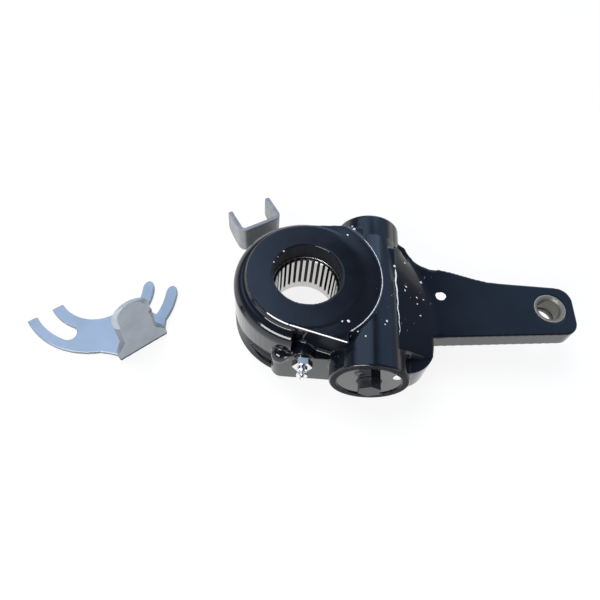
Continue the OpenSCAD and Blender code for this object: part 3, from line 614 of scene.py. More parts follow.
@dataclass
class RoundedSkin:
    """Skin over one solid, with the soft edges that a casting or a pressing has."""

    node: str
    voxel: float
    smoothing: int
    softness: float = 0.5
    weld: float = 0.001 * MM
    flat_reach: float = 0.08 * MM
    edge_reach: float = 0.30 * MM
    wave: float = 0.0
    wave_size: float = 9.0 * MM
    knife: Mesh | None = None

    def solid_copy(self) -> Mesh:
        """Copies the solid, which the frame itself never loses.

        Returns:
            The copy, with its points welded.
        """
        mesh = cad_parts[self.node].data.copy()
        graph = bmesh.new()
        graph.from_mesh(mesh)
        bmesh.ops.remove_doubles(graph, verts=graph.verts, dist=self.weld)
        graph.to_mesh(mesh)
        graph.free()
        return mesh

    def mesh(self) -> Mesh:
        """Remeshes and smooths the solid's surface.

        Returns:
            The surface, with its flats laid back onto the solid.
        """
        core = put(self.node + "_core", self.solid_copy())
        tree = surface_tree(core.data)
        helpers = [core]
        if self.knife is not None:
            helpers.append(put("knife", self.knife))
            cut = core.modifiers.new("cut", "BOOLEAN")
            cut.operation, cut.solver, cut.object = "DIFFERENCE", "EXACT", helpers[-1]
        remesh = core.modifiers.new("even", "REMESH")
        remesh.mode, remesh.voxel_size = "VOXEL", self.voxel
        soft = core.modifiers.new("soft", "SMOOTH")
        soft.factor, soft.iterations = self.softness, self.smoothing
        mesh = bpy.data.meshes.new_from_object(core.evaluated_get(bpy.context.evaluated_depsgraph_get()))
        for helper in helpers:
            bpy.data.objects.remove(helper)
        self.settle(mesh, tree)
        mesh.update()
        return mesh

    def settle(self, mesh: Mesh, tree: BVHTree) -> None:
        """Lays the flats back onto the solid and gives the surface its slow waves.

        Args:
            mesh: Smoothed mesh, which is changed.
            tree: Search tree of the solid's own surface.
        """
        normals = [v.normal.copy() for v in mesh.vertices]
        for vertex, normal in zip(mesh.vertices, normals):
            place, _, _, gap = tree.find_nearest(vertex.co)
            share = (self.edge_reach - gap) / (self.edge_reach - self.flat_reach)
            vertex.co = vertex.co.lerp(place, unit(share))
            if self.wave:
                swell = noise.noise(vertex.co / self.wave_size) * 0.5 - 0.5
                vertex.co += normal * (self.wave * swell)


@dataclass(frozen=True)
class CastForm:
    """Sizes of the casting that its skin shares with what lies on it."""

    worm_x: float = 39.2 * MM
    barrel_r: float = 23.07 * MM
    plateau_r: float = 35.8 * MM
    plateau_z: float = 24.5 * MM
    saddle_r: float = 43.8 * MM
    saddle_x: float = 24.0 * MM
    saddle_z: float = 24.25 * MM
    wall_r: float = 43.0 * MM
    draft: float = 2.3 * MM
    draft_top: float = -12.5 * MM

    def barrel_z(self, x: float) -> float:
        """Returns the height of the worm barrel's top at a place along the arm."""
        return math.sqrt(max(0.0, self.barrel_r ** 2 - (x - self.worm_x) ** 2))


@dataclass
class FrontEdge:
    """Rounded front edge of the plateau, a clean bright strip where the flat top turns down; its rounding
    catches the lamp, and a more reflective enamel adds a painted highlight.
    """

    form: CastForm
    start: float = 205.0
    turn: float = 256.0
    leg: float = 1.0 * MM
    tilt: float = 40.0
    round_r: float = 4.4 * MM
    sweep: float = 8.6
    stand: float = 0.05 * MM
    root: float = 0.6 * MM
    steps: int = 40
    ease_steps: int = 6
    half_arc: int = 4
    pressed_inset: Pair = (-0.6 * MM, 1.6 * MM)
    pressed_depth: Pair = (-0.4 * MM, 1.6 * MM)
    clearance: float = 0.12 * MM

    def line(self) -> tuple[Vector, Vector, Vector, float]:
        """Works out the straight part of the edge.

        Returns:
            Where it starts, its direction, its outward normal and its length.
        """
        angle = math.radians(self.turn)
        out = Vector((math.cos(angle), math.sin(angle), 0.0))
        ahead = Vector((-out.y, out.x, 0.0))
        start = out * self.form.plateau_r
        return start, ahead, out, (self.form.saddle_x - start.x) / ahead.x

    def press(self, skin: Mesh) -> None:
        """Presses the casting's skin back along the edge, to make room for the strip.

        Args:
            skin: Mesh of the skin, which is changed.
        """
        form = self.form
        start, ahead, out, length = self.line()
        tilt = math.radians(self.tilt)
        for vertex in skin.vertices:
            flat = Vector((vertex.co.x, vertex.co.y, 0.0))
            along = (flat - start).dot(ahead)
            angle = math.degrees(math.atan2(flat.y, flat.x)) % 360
            if 0 <= along <= length:
                inset, level, side = -(flat - start).dot(out), form.saddle_z, out
            elif self.start < angle <= self.turn:
                inset, level, side = form.plateau_r - flat.length, form.plateau_z, flat.normalized()
            else:
                continue
            depth = level - vertex.co.z
            spans = ((self.pressed_inset, inset), (self.pressed_depth, depth))
            if not all(low < value < high for (low, high), value in spans):
                continue
            push = (self.leg - inset) * math.sin(tilt) - depth * math.cos(tilt) + self.clearance
            if push > 0:
                vertex.co -= leaning(side, tilt) * push

    def stations(self) -> list[tuple[Vector, Vector, float]]:
        """Lays out the strip along the plateau's round and then along the straight part.

        Returns:
            The place, the outward normal and the level of each station.
        """
        form = self.form
        stations = []
        for step in range(self.steps + 1):
            angle = math.radians(self.start + (self.turn - self.start) * step / self.steps)
            side = Vector((math.cos(angle), math.sin(angle), 0.0))
            ease = max(0.0, (step - self.steps + self.ease_steps) / self.ease_steps)
            level = form.plateau_z + (form.saddle_z - form.plateau_z) * ease
            stations.append((side * form.plateau_r, side, level))
        start, ahead, out, length = self.line()
        for step in range(1, self.steps + 1):
            stations.append((start + ahead * (length * step / self.steps), out, form.saddle_z))
        return stations

    def strip(self) -> Mesh:
        """Makes the strip.

        Returns:
            Its mesh.
        """
        tilt, sweep = math.radians(self.tilt), math.radians(self.sweep)
        loops = []
        for place, side, level in self.stations():
            face = leaning(side, tilt)
            middle = Vector((place.x, place.y, level)) - side * (self.leg / 2)
            middle.z -= self.leg / 2 * math.tan(tilt)
            hub = middle + face * (self.stand - self.round_r)
            turns = [tilt + sweep * step / self.half_arc for step in range(-self.half_arc, self.half_arc + 1)]
            loop = [hub + leaning(side, turn) * self.round_r for turn in turns]
            loops.append(loop + [middle - face * self.root])
        return loft("bright_edge", loops)


@dataclass
class RackPlug:
    """Plug of the rack's bore, filled and dressed flush with the casing's wall."""

    form: CastForm
    foot_z: float = -24.0 * MM
    corner_x: float = -11.0 * MM
    corner_y: float = -38.0 * MM
    corner_r: float = 6.5 * MM
    sunk: float = 0.08 * MM
    rings: int = 8
    spokes: int = 48

    def wall_x(self, y: float, z: float) -> float:
        """Finds the casing's wall on its left side.

        Args:
            y: Depth.
            z: Height.

        Returns:
            Where the wall is along X.
        """
        form = self.form
        draft = max(0.0, (form.draft_top - z) / (form.draft_top - self.foot_z)) * form.draft
        x = -math.sqrt(max(0.0, (form.wall_r - draft) ** 2 - y * y))
        beside = y - self.corner_y
        if abs(beside) < self.corner_r:
            x = min(x, self.corner_x - math.sqrt(self.corner_r ** 2 - beside * beside))
        return x

    def mesh(self) -> Mesh:
        """Makes the plug, with its face on the wall.

        Returns:
            Its mesh.
        """
        low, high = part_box("rack_plug")
        y0, z0, radius = (low.y + high.y) / 2, (low.z + high.z) / 2, (high.z - low.z) / 2
        plug = bmesh.new()
        rows = []
        for ring in range(1, self.rings + 1):
            reach = radius * ring / self.rings
            places = [(y0 + reach * math.cos(t), z0 + reach * math.sin(t)) for t in circle(self.spokes)]
            rows.append([plug.verts.new((self.wall_x(y, z) + self.sunk, y, z)) for y, z in places])
        rows.append([plug.verts.new((high.x, v.co.y, v.co.z)) for v in rows[-1]])
        middle = plug.verts.new((self.wall_x(y0, z0) + self.sunk, y0, z0))
        for i in range(self.spokes):
            j = (i + 1) % self.spokes
            plug.faces.new((middle, rows[0][i], rows[0][j]))
            for inner, outer in zip(rows, rows[1:]):
                plug.faces.new((inner[i], outer[i], outer[j], inner[j]))
        plug.faces.new(rows[-1])
        return mesh_from(plug, "rack_plug_face")


@dataclass
class CastRelief:
    """Relief on the skin: painted glints, sand grain, a parting flash and rim line as painted highlights, a
    white drop.
    """

    form: CastForm
    tree: BVHTree
    seed: int = 7
    glint_nibs: tuple[Triple, ...] = (
        (22.1, 38.5, 1.0), (22.9, 30.6, 1.1), (26.8, 44.3, 1.3), (26.7, 41.6, 1.4), (27.0, 39.5, 1.2),
        (29.0, 38.7, 1.0), (27.0, 36.2, 1.3), (20.4, -29.8, 0.9), (23.9, -29.4, 1.2), (-15.0, 14.5, 0.9),
        (-10.1, 13.0, 0.7), (-18.1, 10.1, 0.6), (-20.2, 6.2, 0.7), (-17.4, -10.3, 0.7), (26.1, -34.9, 0.9),
        (52.3, 14.2, 1.1), (45.9, -26.1, 1.0), (44.7, -28.6, 0.8), (33.7, -36.9, 1.0), (29.6, -33.6, 0.8),
        (60.2, 21.4, 1.2), (59.6, 2.4, 1.0), (58.7, -0.7, 1.0), (70.8, 11.1, 1.4), (66.5, -2.7, 0.9),
        (71.2, -2.3, 0.7), (66.6, -7.2, 0.8), (68.2, -14.8, 0.9))
    nib_share: float = 0.6
    lump_flatness: float = 0.34
    lump_stretch: Pair = (0.8, 1.5)
    grain_count: int = 30
    grain_size: Pair = (0.22 * MM, 0.45 * MM)
    grain_x: Pair = (40.0 * MM, 78.0 * MM)
    grain_y: Pair = (-30.0 * MM, 26.0 * MM)
    flash_line: tuple[Pair, ...] = (
        (52.6 * MM, 12.5 * MM), (53.0 * MM, -4.0 * MM), (53.5 * MM, -18.0 * MM), (53.9 * MM, -33.0 * MM))
    flash_steps: int = 24
    flash_sway: float = 0.35 * MM
    flash_beat: Pair = (0.33, 0.11)
    flash_width: Pair = (0.6 * MM, 0.18 * MM)
    rim_turn: Pair = (42.0, -56.0)
    rim_steps: int = 90
    rim_inset: float = 0.35 * MM
    rim_width: Pair = (0.2 * MM, 0.3 * MM)
    bead_sides: int = 12
    bead_taper: int = 4
    bead_tip: float = 0.02
    bead_flatness: float = 0.5
    mark_centre: Pair = (82.8 * MM, 2.7 * MM)
    mark_size: Triple = (3.5 * MM, 2.9 * MM, 0.45 * MM)
    mark_sunk: float = 0.28 * MM
    mark_lobes: tuple[Triple, ...] = ((0.05, 3.0, 0.0), (0.03, 5.0, 1.0))

    def build(self, finishes: Finishes) -> None:
        """Builds the relief, piece by piece.

        Args:
            finishes: The adjuster's finishes.
        """
        draw = random.Random(self.seed)
        # Painted glints: pale lumps set where glints of light show.
        glints = [(x * MM, y * MM, self.nib_share * size * MM) for x, y, size in self.glint_nibs]
        lumps = self.lumps("casting_glints", glints, draw)
        new_piece("casting_glints", lumps, Body.CASTING, None, [finishes.glint_paint])
        grain = [(draw.uniform(*self.grain_x), draw.uniform(*self.grain_y), draw.uniform(*self.grain_size))
                 for _ in range(self.grain_count)]
        lumps = self.lumps("casting_grain", grain, draw)
        new_piece("casting_grain", lumps, Body.CASTING, Slot.ENAMEL, [finishes.nib])
        # The parting flash and the rim line are pale beads, painted highlight lines.
        flash = self.bead("parting_flash", self.flash_places(), self.flash_width)
        new_piece("parting_flash", flash, Body.CASTING, None, [finishes.glint_paint])
        rim = self.bead("saddle_rim", self.rim_places(), self.rim_width)
        new_piece("saddle_rim", rim, Body.CASTING, None, [finishes.glint_paint])
        new_piece("arm_white_dot", self.mark(), Body.CASTING, None, [finishes.mark])

    def top_at(self, x: float, y: float) -> tuple[Vector | None, Vector | None]:
        """Returns the skin's top and its normal at a place, or None twice where there is none."""
        return self.tree.ray_cast(Vector((x, y, CAD_BOX[1].z)), Vector((0.0, 0.0, -1.0)))[:2]

    def lumps(self, name: str, spots: list[Triple], draw: random.Random) -> Mesh:
        """Makes small cast lumps on the upward faces.

        Args:
            name: Name of the mesh.
            spots: Place along X and Y and size of each lump.
            draw: Seeded source of the lumps' turns and lengths.

        Returns:
            The mesh of all lumps.
        """
        lumps = bmesh.new()
        for x, y, size in spots:
            place, normal = self.top_at(x, y)
            if place is None:
                continue
            turn = normal.to_track_quat("Z", "Y").to_matrix().to_4x4()
            spin = Matrix.Rotation(draw.uniform(0.0, math.pi), 4, "Z")
            stretch = Matrix.Diagonal((draw.uniform(*self.lump_stretch), 1.0, self.lump_flatness, 1.0))
            bmesh.ops.create_icosphere(
                lumps, subdivisions=3, radius=size, matrix=Matrix.Translation(place) @ turn @ spin @ stretch)
        return mesh_from(lumps, name)

    def flash_places(self) -> list[Pair]:
        """Lays out the parting flash, a low ridge in pale paint as a painted highlight line, which sways a
        little.

        Returns:
            Its places along X and Y.
        """
        line = []
        for (x0, y0), (x1, y1) in zip(self.flash_line, self.flash_line[1:]):
            shares = [step / self.flash_steps for step in range(self.flash_steps)]
            line += [(x0 + (x1 - x0) * share, y0 + (y1 - y0) * share) for share in shares]
        fast, slow = self.flash_beat
        return [(x + self.flash_sway * math.sin(fast * i) * math.sin(slow * i), y)
                for i, (x, y) in enumerate(line)]

    def rim_places(self) -> list[Pair]:
        """Lays out the painted highlight line along the saddle's rim.

        Returns:
            Its places along X and Y.
        """
        start, end = (math.radians(turn) for turn in self.rim_turn)
        turns = [start + (end - start) * step / self.rim_steps for step in range(self.rim_steps + 1)]
        reach = self.form.saddle_r - self.rim_inset
        return [(reach * math.cos(turn), reach * math.sin(turn)) for turn in turns]

    def bead(self, name: str, line: list[Pair], width: Pair) -> Mesh:
        """Lays a low pale bead along a line on the skin, a painted highlight line.

        Args:
            name: Name of the mesh.
            line: Places along X and Y.
            width: Half the bead's width at its start and at its end.

        Returns:
            The mesh of the bead.
        """
        loops = []
        last = len(line) - 1
        for index, (x, y) in enumerate(line):
            ends = min(1.0, index / self.bead_taper, (last - index) / self.bead_taper) + self.bead_tip
            across = (width[0] + (width[1] - width[0]) * index / last) * ends
            high = Vector((0.0, 0.0, self.bead_flatness * across))
            place, _ = self.top_at(x, y)
            (x0, y0), (x1, y1) = line[max(0, index - 1)], line[min(last, index + 1)]
            side = Vector((y0 - y1, x1 - x0, 0.0)).normalized() * across
            loops.append([
                place + side * math.cos(turn) + high * math.sin(turn) for turn in circle(self.bead_sides)])
        return loft(name, loops)

    def mark(self) -> Mesh:
        """Lays a white drop in the arm's dimple.

        Returns:
            The mesh of the drop.
        """
        (x, y), (long, wide, thick) = self.mark_centre, self.mark_size
        level = self.top_at(x + 2 * long, y)[0].z - self.mark_sunk
        drop = bmesh.new()
        bmesh.ops.create_uvsphere(drop, u_segments=40, v_segments=20, radius=1.0)
        for vertex in drop.verts:
            angle = math.atan2(vertex.co.y, vertex.co.x)
            ragged = 1.0 + sum(depth * math.sin(count * angle + lag) for depth, count, lag in self.mark_lobes)
            vertex.co = Vector((
                x + vertex.co.x * long * ragged, y + vertex.co.y * wide * ragged, level + vertex.co.z * thick))
        return mesh_from(drop, "arm_white_dot")


@dataclass
class Casting:
    """Cast housing with lever arm: its enamelled skin, the bright edge, the rack's plug and fine relief."""

    form: CastForm = CastForm()
    voxel: float = 0.6 * MM
    smoothing: int = 4
    wave: float = 0.05 * MM
    bore_r: float = 20.8 * MM
    bore_top: float = 23.6 * MM
    # Border of the painted shade on the casing's foot, rising over a span of turns.
    band_low: float = -8.2 * MM
    band_rise: float = 4.2 * MM
    band_turn: Pair = (212.0, 234.0)
    wall_slack: float = 0.6 * MM
    barrel_end: float = -54.2 * MM
    end_facing: float = -0.9
    pocket_x: Pair = (2.0 * MM, 25.0 * MM)
    pocket_y: float = -46.0 * MM
    pocket_z: Pair = (10.0 * MM, 23.2 * MM)
    pocket_facing: float = -0.2
    ridge_x: float = 52.5 * MM
    ridge_z: float = 18.85 * MM
    arm_top: float = 7.6 * MM
    arm_start: float = 53.3 * MM
    arm_facing: float = 0.25
    toe_line_mm: Triple = (75.04, -0.2333, -0.00671)
    web_y: Pair = (-41.0 * MM, 29.5 * MM)
    web_slack: float = 0.3 * MM
    root_box: tuple[Triple, Triple] = (
        (54.0 * MM, -38.0 * MM, 5.5 * MM), (82.0 * MM, 29.0 * MM, 22.0 * MM))
    root_rounds: int = 16
    root_pull: float = 0.5
    knife_steps: int = 24
    knife_step: float = 0.5 * MM
    knife_gap: float = 0.02 * MM
    knife_front: float = -50.0 * MM
    knife_top: float = 30.0 * MM
    level_start: float = 31.0 * MM
    level_span: float = 11.0 * MM
    level_rim: float = 1.2 * MM
    level_slack: float = 0.4 * MM
    level_fade: Pair = (12.0 * MM, 20.0 * MM)
    foot_depth: float = 3.4 * MM

    def build(self, finishes: Finishes) -> None:
        """Builds the skin and everything that lies on it.

        Args:
            finishes: The adjuster's finishes.
        """
        edge = FrontEdge(self.form)
        skin = self.skin(edge)
        coats = {
            Coat.ENAMEL: finishes.enamel, Coat.PRIMER: finishes.primer, Coat.THIN: finishes.shade,
            Coat.ARM: finishes.arm}
        piece = new_piece(
            "casting_skin", skin, Body.CASTING, Slot.ENAMEL, [coats[coat] for coat in Coat],
            [self.coat(face).value for face in skin.polygons])
        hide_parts("housing")
        # The bright edge is a real rounding with a painted highlight in its more reflective enamel.
        new_piece("bright_edge", edge.strip(), Body.CASTING, Slot.ENAMEL, [finishes.edge])
        plug = RackPlug(self.form).mesh()
        # The plug's face takes the painted shade enamel.
        piece = new_piece("rack_plug_face", plug, Body.CASTING, Slot.ENAMEL, [finishes.shade])
        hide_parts("rack_plug")
        CastRelief(self.form, surface_tree(skin)).build(finishes)

    def skin(self, edge: FrontEdge) -> Mesh:
        """Makes the skin and shapes it where the real casting is softer than the solid.

        Args:
            edge: The plateau's front edge, which the skin makes room for.

        Returns:
            The mesh of the skin.
        """
        skin = RoundedSkin(
            "housing", self.voxel, self.smoothing, wave=self.wave, knife=self.corner_knife()).mesh()
        self.ease_web(skin)
        self.melt_web(skin)
        self.level_saddle(skin)
        edge.press(skin)
        self.square_foot(skin)
        skin.update()
        return skin

    def coat(self, face: bpy.types.MeshPolygon) -> Coat:
        """Tells which coat a face of the skin has.

        Args:
            face: The face.

        Returns:
            Primer in the bore; painted shade, a dim copy of the enamel, on the foot, in the pocket and on the
            barrel's end; the arm's enamel, painted darker toward its root, on top of the arm and its root; and
            the usual enamel elsewhere.
        """
        x, y, z = face.center
        radius = face.center.xy.length
        if radius < self.bore_r and z < self.bore_top:
            return Coat.PRIMER
        first, last = self.band_turn
        turn = math.degrees(math.atan2(y, x)) % 360
        border = self.band_low + self.band_rise * unit((turn - first) / (last - first))
        inner, outer = self.form.wall_r - 2 * self.form.draft, self.form.wall_r + self.wall_slack
        foot = z < border and x < 0 and inner < radius < outer
        end = face.normal.y < self.end_facing and y < self.barrel_end
        pocket = (
            face.normal.y < self.pocket_facing and y > self.pocket_y
            and self.pocket_x[0] < x < self.pocket_x[1] and self.pocket_z[0] < z < self.pocket_z[1])
        # Painted shade on the foot, the barrel's end and the pocket.
        if foot or end or pocket:
            return Coat.THIN
        # The arm's enamel is painted darker toward its root.
        return Coat.ARM if x > self.arm_start and face.normal.z > self.arm_facing else Coat.ENAMEL

    def corner_knife(self) -> Mesh:
        """Makes the block that cuts the plateau's front corner back to its round, down to the barrel.

        Returns:
            The mesh of the block.
        """
        loops = []
        for step in range(self.knife_steps + 1):
            x = self.form.saddle_x + step * self.knife_step
            back = -math.sqrt(self.form.saddle_r ** 2 - x * x)
            low = self.form.barrel_z(x) + self.knife_gap
            loops.append([
                Vector((x, self.knife_front, low)), Vector((x, back, low)),
                Vector((x, back, self.knife_top)), Vector((x, self.knife_front, self.knife_top))])
        return loft("corner_knife", loops)

    def ease_web(self, skin: Mesh) -> None:
        """Lays the web between barrel and arm as one slope that turns with the arm's back edge.

        Args:
            skin: Mesh of the skin, which is changed.
        """
        place, lean, bend = self.toe_line_mm
        for vertex in skin.vertices:
            x, y, z = vertex.co
            beside = y / MM
            toe = (place + lean * beside + bend * beside * beside) * MM
            within = self.ridge_x < x < toe and self.web_y[0] < y < self.web_y[1]
            if within and z > self.arm_top - self.web_slack:
                share = 1.0 - (x - self.ridge_x) / (toe - self.ridge_x)
                slope = self.arm_top + (self.ridge_z - self.arm_top) * share
                vertex.co.z = max(slope, self.form.barrel_z(x))

    def melt_web(self, skin: Mesh) -> None:
        """Runs the web between barrel and arm into one soft slope.

        Args:
            skin: Mesh of the skin, which is changed.
        """
        low, high = self.root_box
        chosen = {v.index for v in skin.vertices if all(a < c < b for a, c, b in zip(low, v.co, high))}
        near: dict[int, list[int]] = {index: [] for index in chosen}
        for edge in skin.edges:
            for one, other in (edge.vertices, reversed(edge.vertices)):
                if one in chosen:
                    near[one].append(other)
        for _ in range(self.root_rounds):
            means = {
                index: sum((skin.vertices[i].co for i in beside), Vector()) / len(beside)
                for index, beside in near.items()}
            for index, mean in means.items():
                skin.vertices[index].co = skin.vertices[index].co.lerp(mean, self.root_pull)

    def level_saddle(self, skin: Mesh) -> None:
        """Runs the plateau into the saddle beside it without a step.

        Args:
            skin: Mesh of the skin, which is changed.
        """
        form = self.form
        first, last = self.level_fade
        for vertex in skin.vertices:
            x, y, z = vertex.co
            radius = math.hypot(x, y)
            within = self.level_start < radius < form.saddle_r - self.level_rim
            if within and z > form.saddle_z - self.level_slack and x > first:
                share = unit((radius - self.level_start) / self.level_span)
                drop = share ** 2 * (3 - 2 * share)
                level = form.plateau_z - (form.plateau_z - form.saddle_z) * drop
                vertex.co.z += (level - z) * unit((x - first) / (last - first))

    def square_foot(self, skin: Mesh) -> None:
        """Sets the casing's foot upright on the side that faces the bracket.

        Args:
            skin: Mesh of the skin, which is changed.
        """
        wall = self.form.wall_r
        for vertex in skin.vertices:
            radius = vertex.co.xy.length
            low = vertex.co.z < self.form.draft_top and vertex.co.x < 0
            if low and wall - self.foot_depth < radius < wall:
                vertex.co.x *= wall / radius
                vertex.co.y *= wall / radius


@dataclass
class SheetParts:
    """Control arm with its fork, and the loose anchor bracket."""

    voxel: float = 0.5 * MM
    smoothing: int = 3
    bracket_centre: Pair = (-134.4 * MM, 8.8 * MM)
    tab_angle: float = -49.3
    tab_back: float = 51.5 * MM
    tab_face: float = 54.3 * MM
    back_slack: float = 0.3 * MM
    face_slack: float = 0.6 * MM
    rim_foot: float = 33.5 * MM
    plate_top: float = 3.6 * MM
    shadow_top: float = 1.9 * MM
    plate_facing: float = 0.5
    tab_facing: float = 0.93

    def build(self, finishes: Finishes) -> None:
        """Builds both pressings with rounded edges.

        Args:
            finishes: The adjuster's finishes.
        """
        fork = RoundedSkin("control_arm", self.voxel, self.smoothing).mesh()
        piece = new_piece("fork_skin", fork, Body.CONTROL, Slot.ZINC_SHEET, [finishes.fork])
        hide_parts("control_arm")
        sheet = RoundedSkin("anchor_bracket", self.voxel, self.smoothing).mesh()
        looks = {
            Zone.PLATE: finishes.plate, Zone.TAB: finishes.tab, Zone.RIM: finishes.rim,
            Zone.FACET: finishes.facet, Zone.FOOT_SHADOW: finishes.foot_shadow}
        piece = new_piece(
            "bracket_skin", sheet, Body.BRACKET, Slot.BRACKET_ZINC, [looks[zone] for zone in Zone],
            self.zones(sheet))
        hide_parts("anchor_bracket")

    def zones(self, sheet: Mesh) -> list[int]:
        """Tells the zone of each face of the bracket.

        Args:
            sheet: The bracket's mesh.

        Returns:
            The number of each face's zone.
        """
        turn = Matrix.Rotation(math.radians(-self.tab_angle), 3, "Z")
        corner = Vector((*self.bracket_centre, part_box("anchor_bracket")[0].z))
        places = [turn @ (f.center - corner) for f in sheet.polygons]
        foot = min(place.z for place in places if place.x > self.tab_face - self.face_slack)
        return [self.zone_at(p, turn @ f.normal, foot).value for p, f in zip(places, sheet.polygons)]

    def zone_at(self, place: Vector, normal: Vector, foot: float) -> Zone:
        """Tells which zone a point of the bracket is in.

        Args:
            place: The point, with X along the tab's direction and Z up from the bracket's foot.
            normal: The surface's normal there.
            foot: Height of the tab's lower edge.

        Returns:
            The zone.
        """
        low = place.z < self.plate_top and place.x < self.tab_back
        if low or place.x < self.tab_back - self.back_slack:
            # The plate's side faces take the painted shade.
            return Zone.FACET if abs(normal.z) < self.plate_facing else Zone.PLATE
        # Painted shadow along the tab's foot.
        if place.z < foot + self.shadow_top:
            return Zone.FOOT_SHADOW
        # The tab's face takes the painted shade.
        if abs(normal.x) > self.tab_facing:
            return Zone.TAB
        # Painted highlight on the rim band, painted shade on the tab's lower side facets.
        return Zone.RIM if place.z > self.rim_foot else Zone.FACET


@dataclass(frozen=True)
class Head:
    """A domed head that sits on the front cover."""

    name: str
    x: float
    z: float
    radius: float
    height: float
    flatness: float = 0.6

    def mesh(self) -> Mesh:
        """Makes the head.

        Returns:
            Its mesh.
        """
        dome = bmesh.new()
        bmesh.ops.create_uvsphere(dome, u_segments=40, v_segments=20, radius=1.0)
        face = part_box("front_cover")[0].y
        for vertex in dome.verts:
            out = math.copysign(abs(vertex.co.z) ** self.flatness, vertex.co.z)
            vertex.co = Vector((
                self.x + vertex.co.x * self.radius, face + out * self.height,
                self.z + vertex.co.y * self.radius))
        return mesh_from(dome, self.name)


@dataclass
class Fittings:
    """Pieces whose solids show as they are, the bush's collar and the heads on the front cover."""

    pin: Head = Head("cover_pin", 53.6 * MM, 8.4 * MM, 2.6 * MM, 0.75 * MM)
    stop: Head = Head("cover_stop", 32.3 * MM, 10.0 * MM, 3.2 * MM, 0.35 * MM)
    eye: Head = Head("cover_eye", 32.5 * MM, 10.3 * MM, 1.5 * MM, 0.5 * MM)
    bush_bore: float = 7.1 * MM
    bush_out: float = 9.4 * MM
    bush_drop: float = 3.2 * MM
    bush_overlap: float = 0.3 * MM
    bush_steps: int = 64

    def build(self, finishes: Finishes) -> None:
        """Gives each solid its finish and sets the collar and the heads.

        Args:
            finishes: The adjuster's finishes.
        """
        dress = {
            finishes.enamel: ("rear_plug", "control_cover"),
            finishes.bush: ("arm_bush",),
            finishes.cover: ("front_cover",),
            finishes.spline: ("worm_wheel",),
            finishes.steel: ("one_way_spring", "thrust_rollers", "thrust_race_front", "thrust_race_rear"),
            finishes.oxide: ("worm_shaft", "cover_screws", "rack", "pinion", "clutch_ring", "clutch_spring"),
            finishes.plated: ("grease_nipple", "nipple_ball"),
            finishes.fork: ("control_disc",),
            finishes.bronze: ("thrust_cage", "bearing_ring", "front_bush"),
            finishes.rubber: ("shaft_seal", "rear_plug_seal", "cover_gasket", "neck_seal", "wheel_seal"),
        }
        for finish, nodes in dress.items():
            for node in nodes:
                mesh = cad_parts[node].data
                mesh.materials.clear()
                mesh.materials.append(finish)
                LOG.info("dressed %s with %s", node, finish.name)
        new_piece("bush_collar", self.collar(), Body.CASTING, None, [finishes.bush])
        heads = {self.pin: finishes.plated, self.stop: finishes.oxide, self.eye: finishes.cover}
        for head, finish in heads.items():
            new_piece(head.name, head.mesh(), Body.CASTING, Slot.PLATED, [finish])

    def collar(self) -> Mesh:
        """Makes the end of the clevis bush that stands out below the arm.

        Returns:
            The mesh of the collar.
        """
        low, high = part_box("arm_bush")
        x, y = (low.x + high.x) / 2, (low.y + high.y) / 2
        top, foot = low.z + self.bush_overlap, low.z - self.bush_drop
        outline = (
            (self.bush_bore, top), (self.bush_out, top), (self.bush_out, foot), (self.bush_bore, foot))
        loops = [[Vector((x + r * math.cos(turn), y + r * math.sin(turn), z)) for r, z in outline]
                 for turn in circle(self.bush_steps)]
        return loft("bush_collar", loops, closed=True)


@dataclass(frozen=True)
class Glow:
    """A soft patch of light in the sky."""

    toward: Triple
    colour: Colour
    edge: float
    core: float


@dataclass(frozen=True)
class Softbox:
    """A rectangular lamp that faces the object."""

    name: str
    place: Triple
    size: Pair
    watts: float
    unseen: bool = False

    def hang(self) -> None:
        """Puts the lamp in the scene."""
        data = bpy.data.lights.new(self.name, "AREA")
        data.shape = "RECTANGLE"
        data.size, data.size_y = self.size
        data.energy = self.watts
        lamp = put(self.name, data)
        lamp.visible_glossy = not self.unseen
        lamp.location = self.place
        lamp.rotation_mode = "QUATERNION"
        lamp.rotation_quaternion = (-Vector(self.place)).to_track_quat("-Z", "Y")


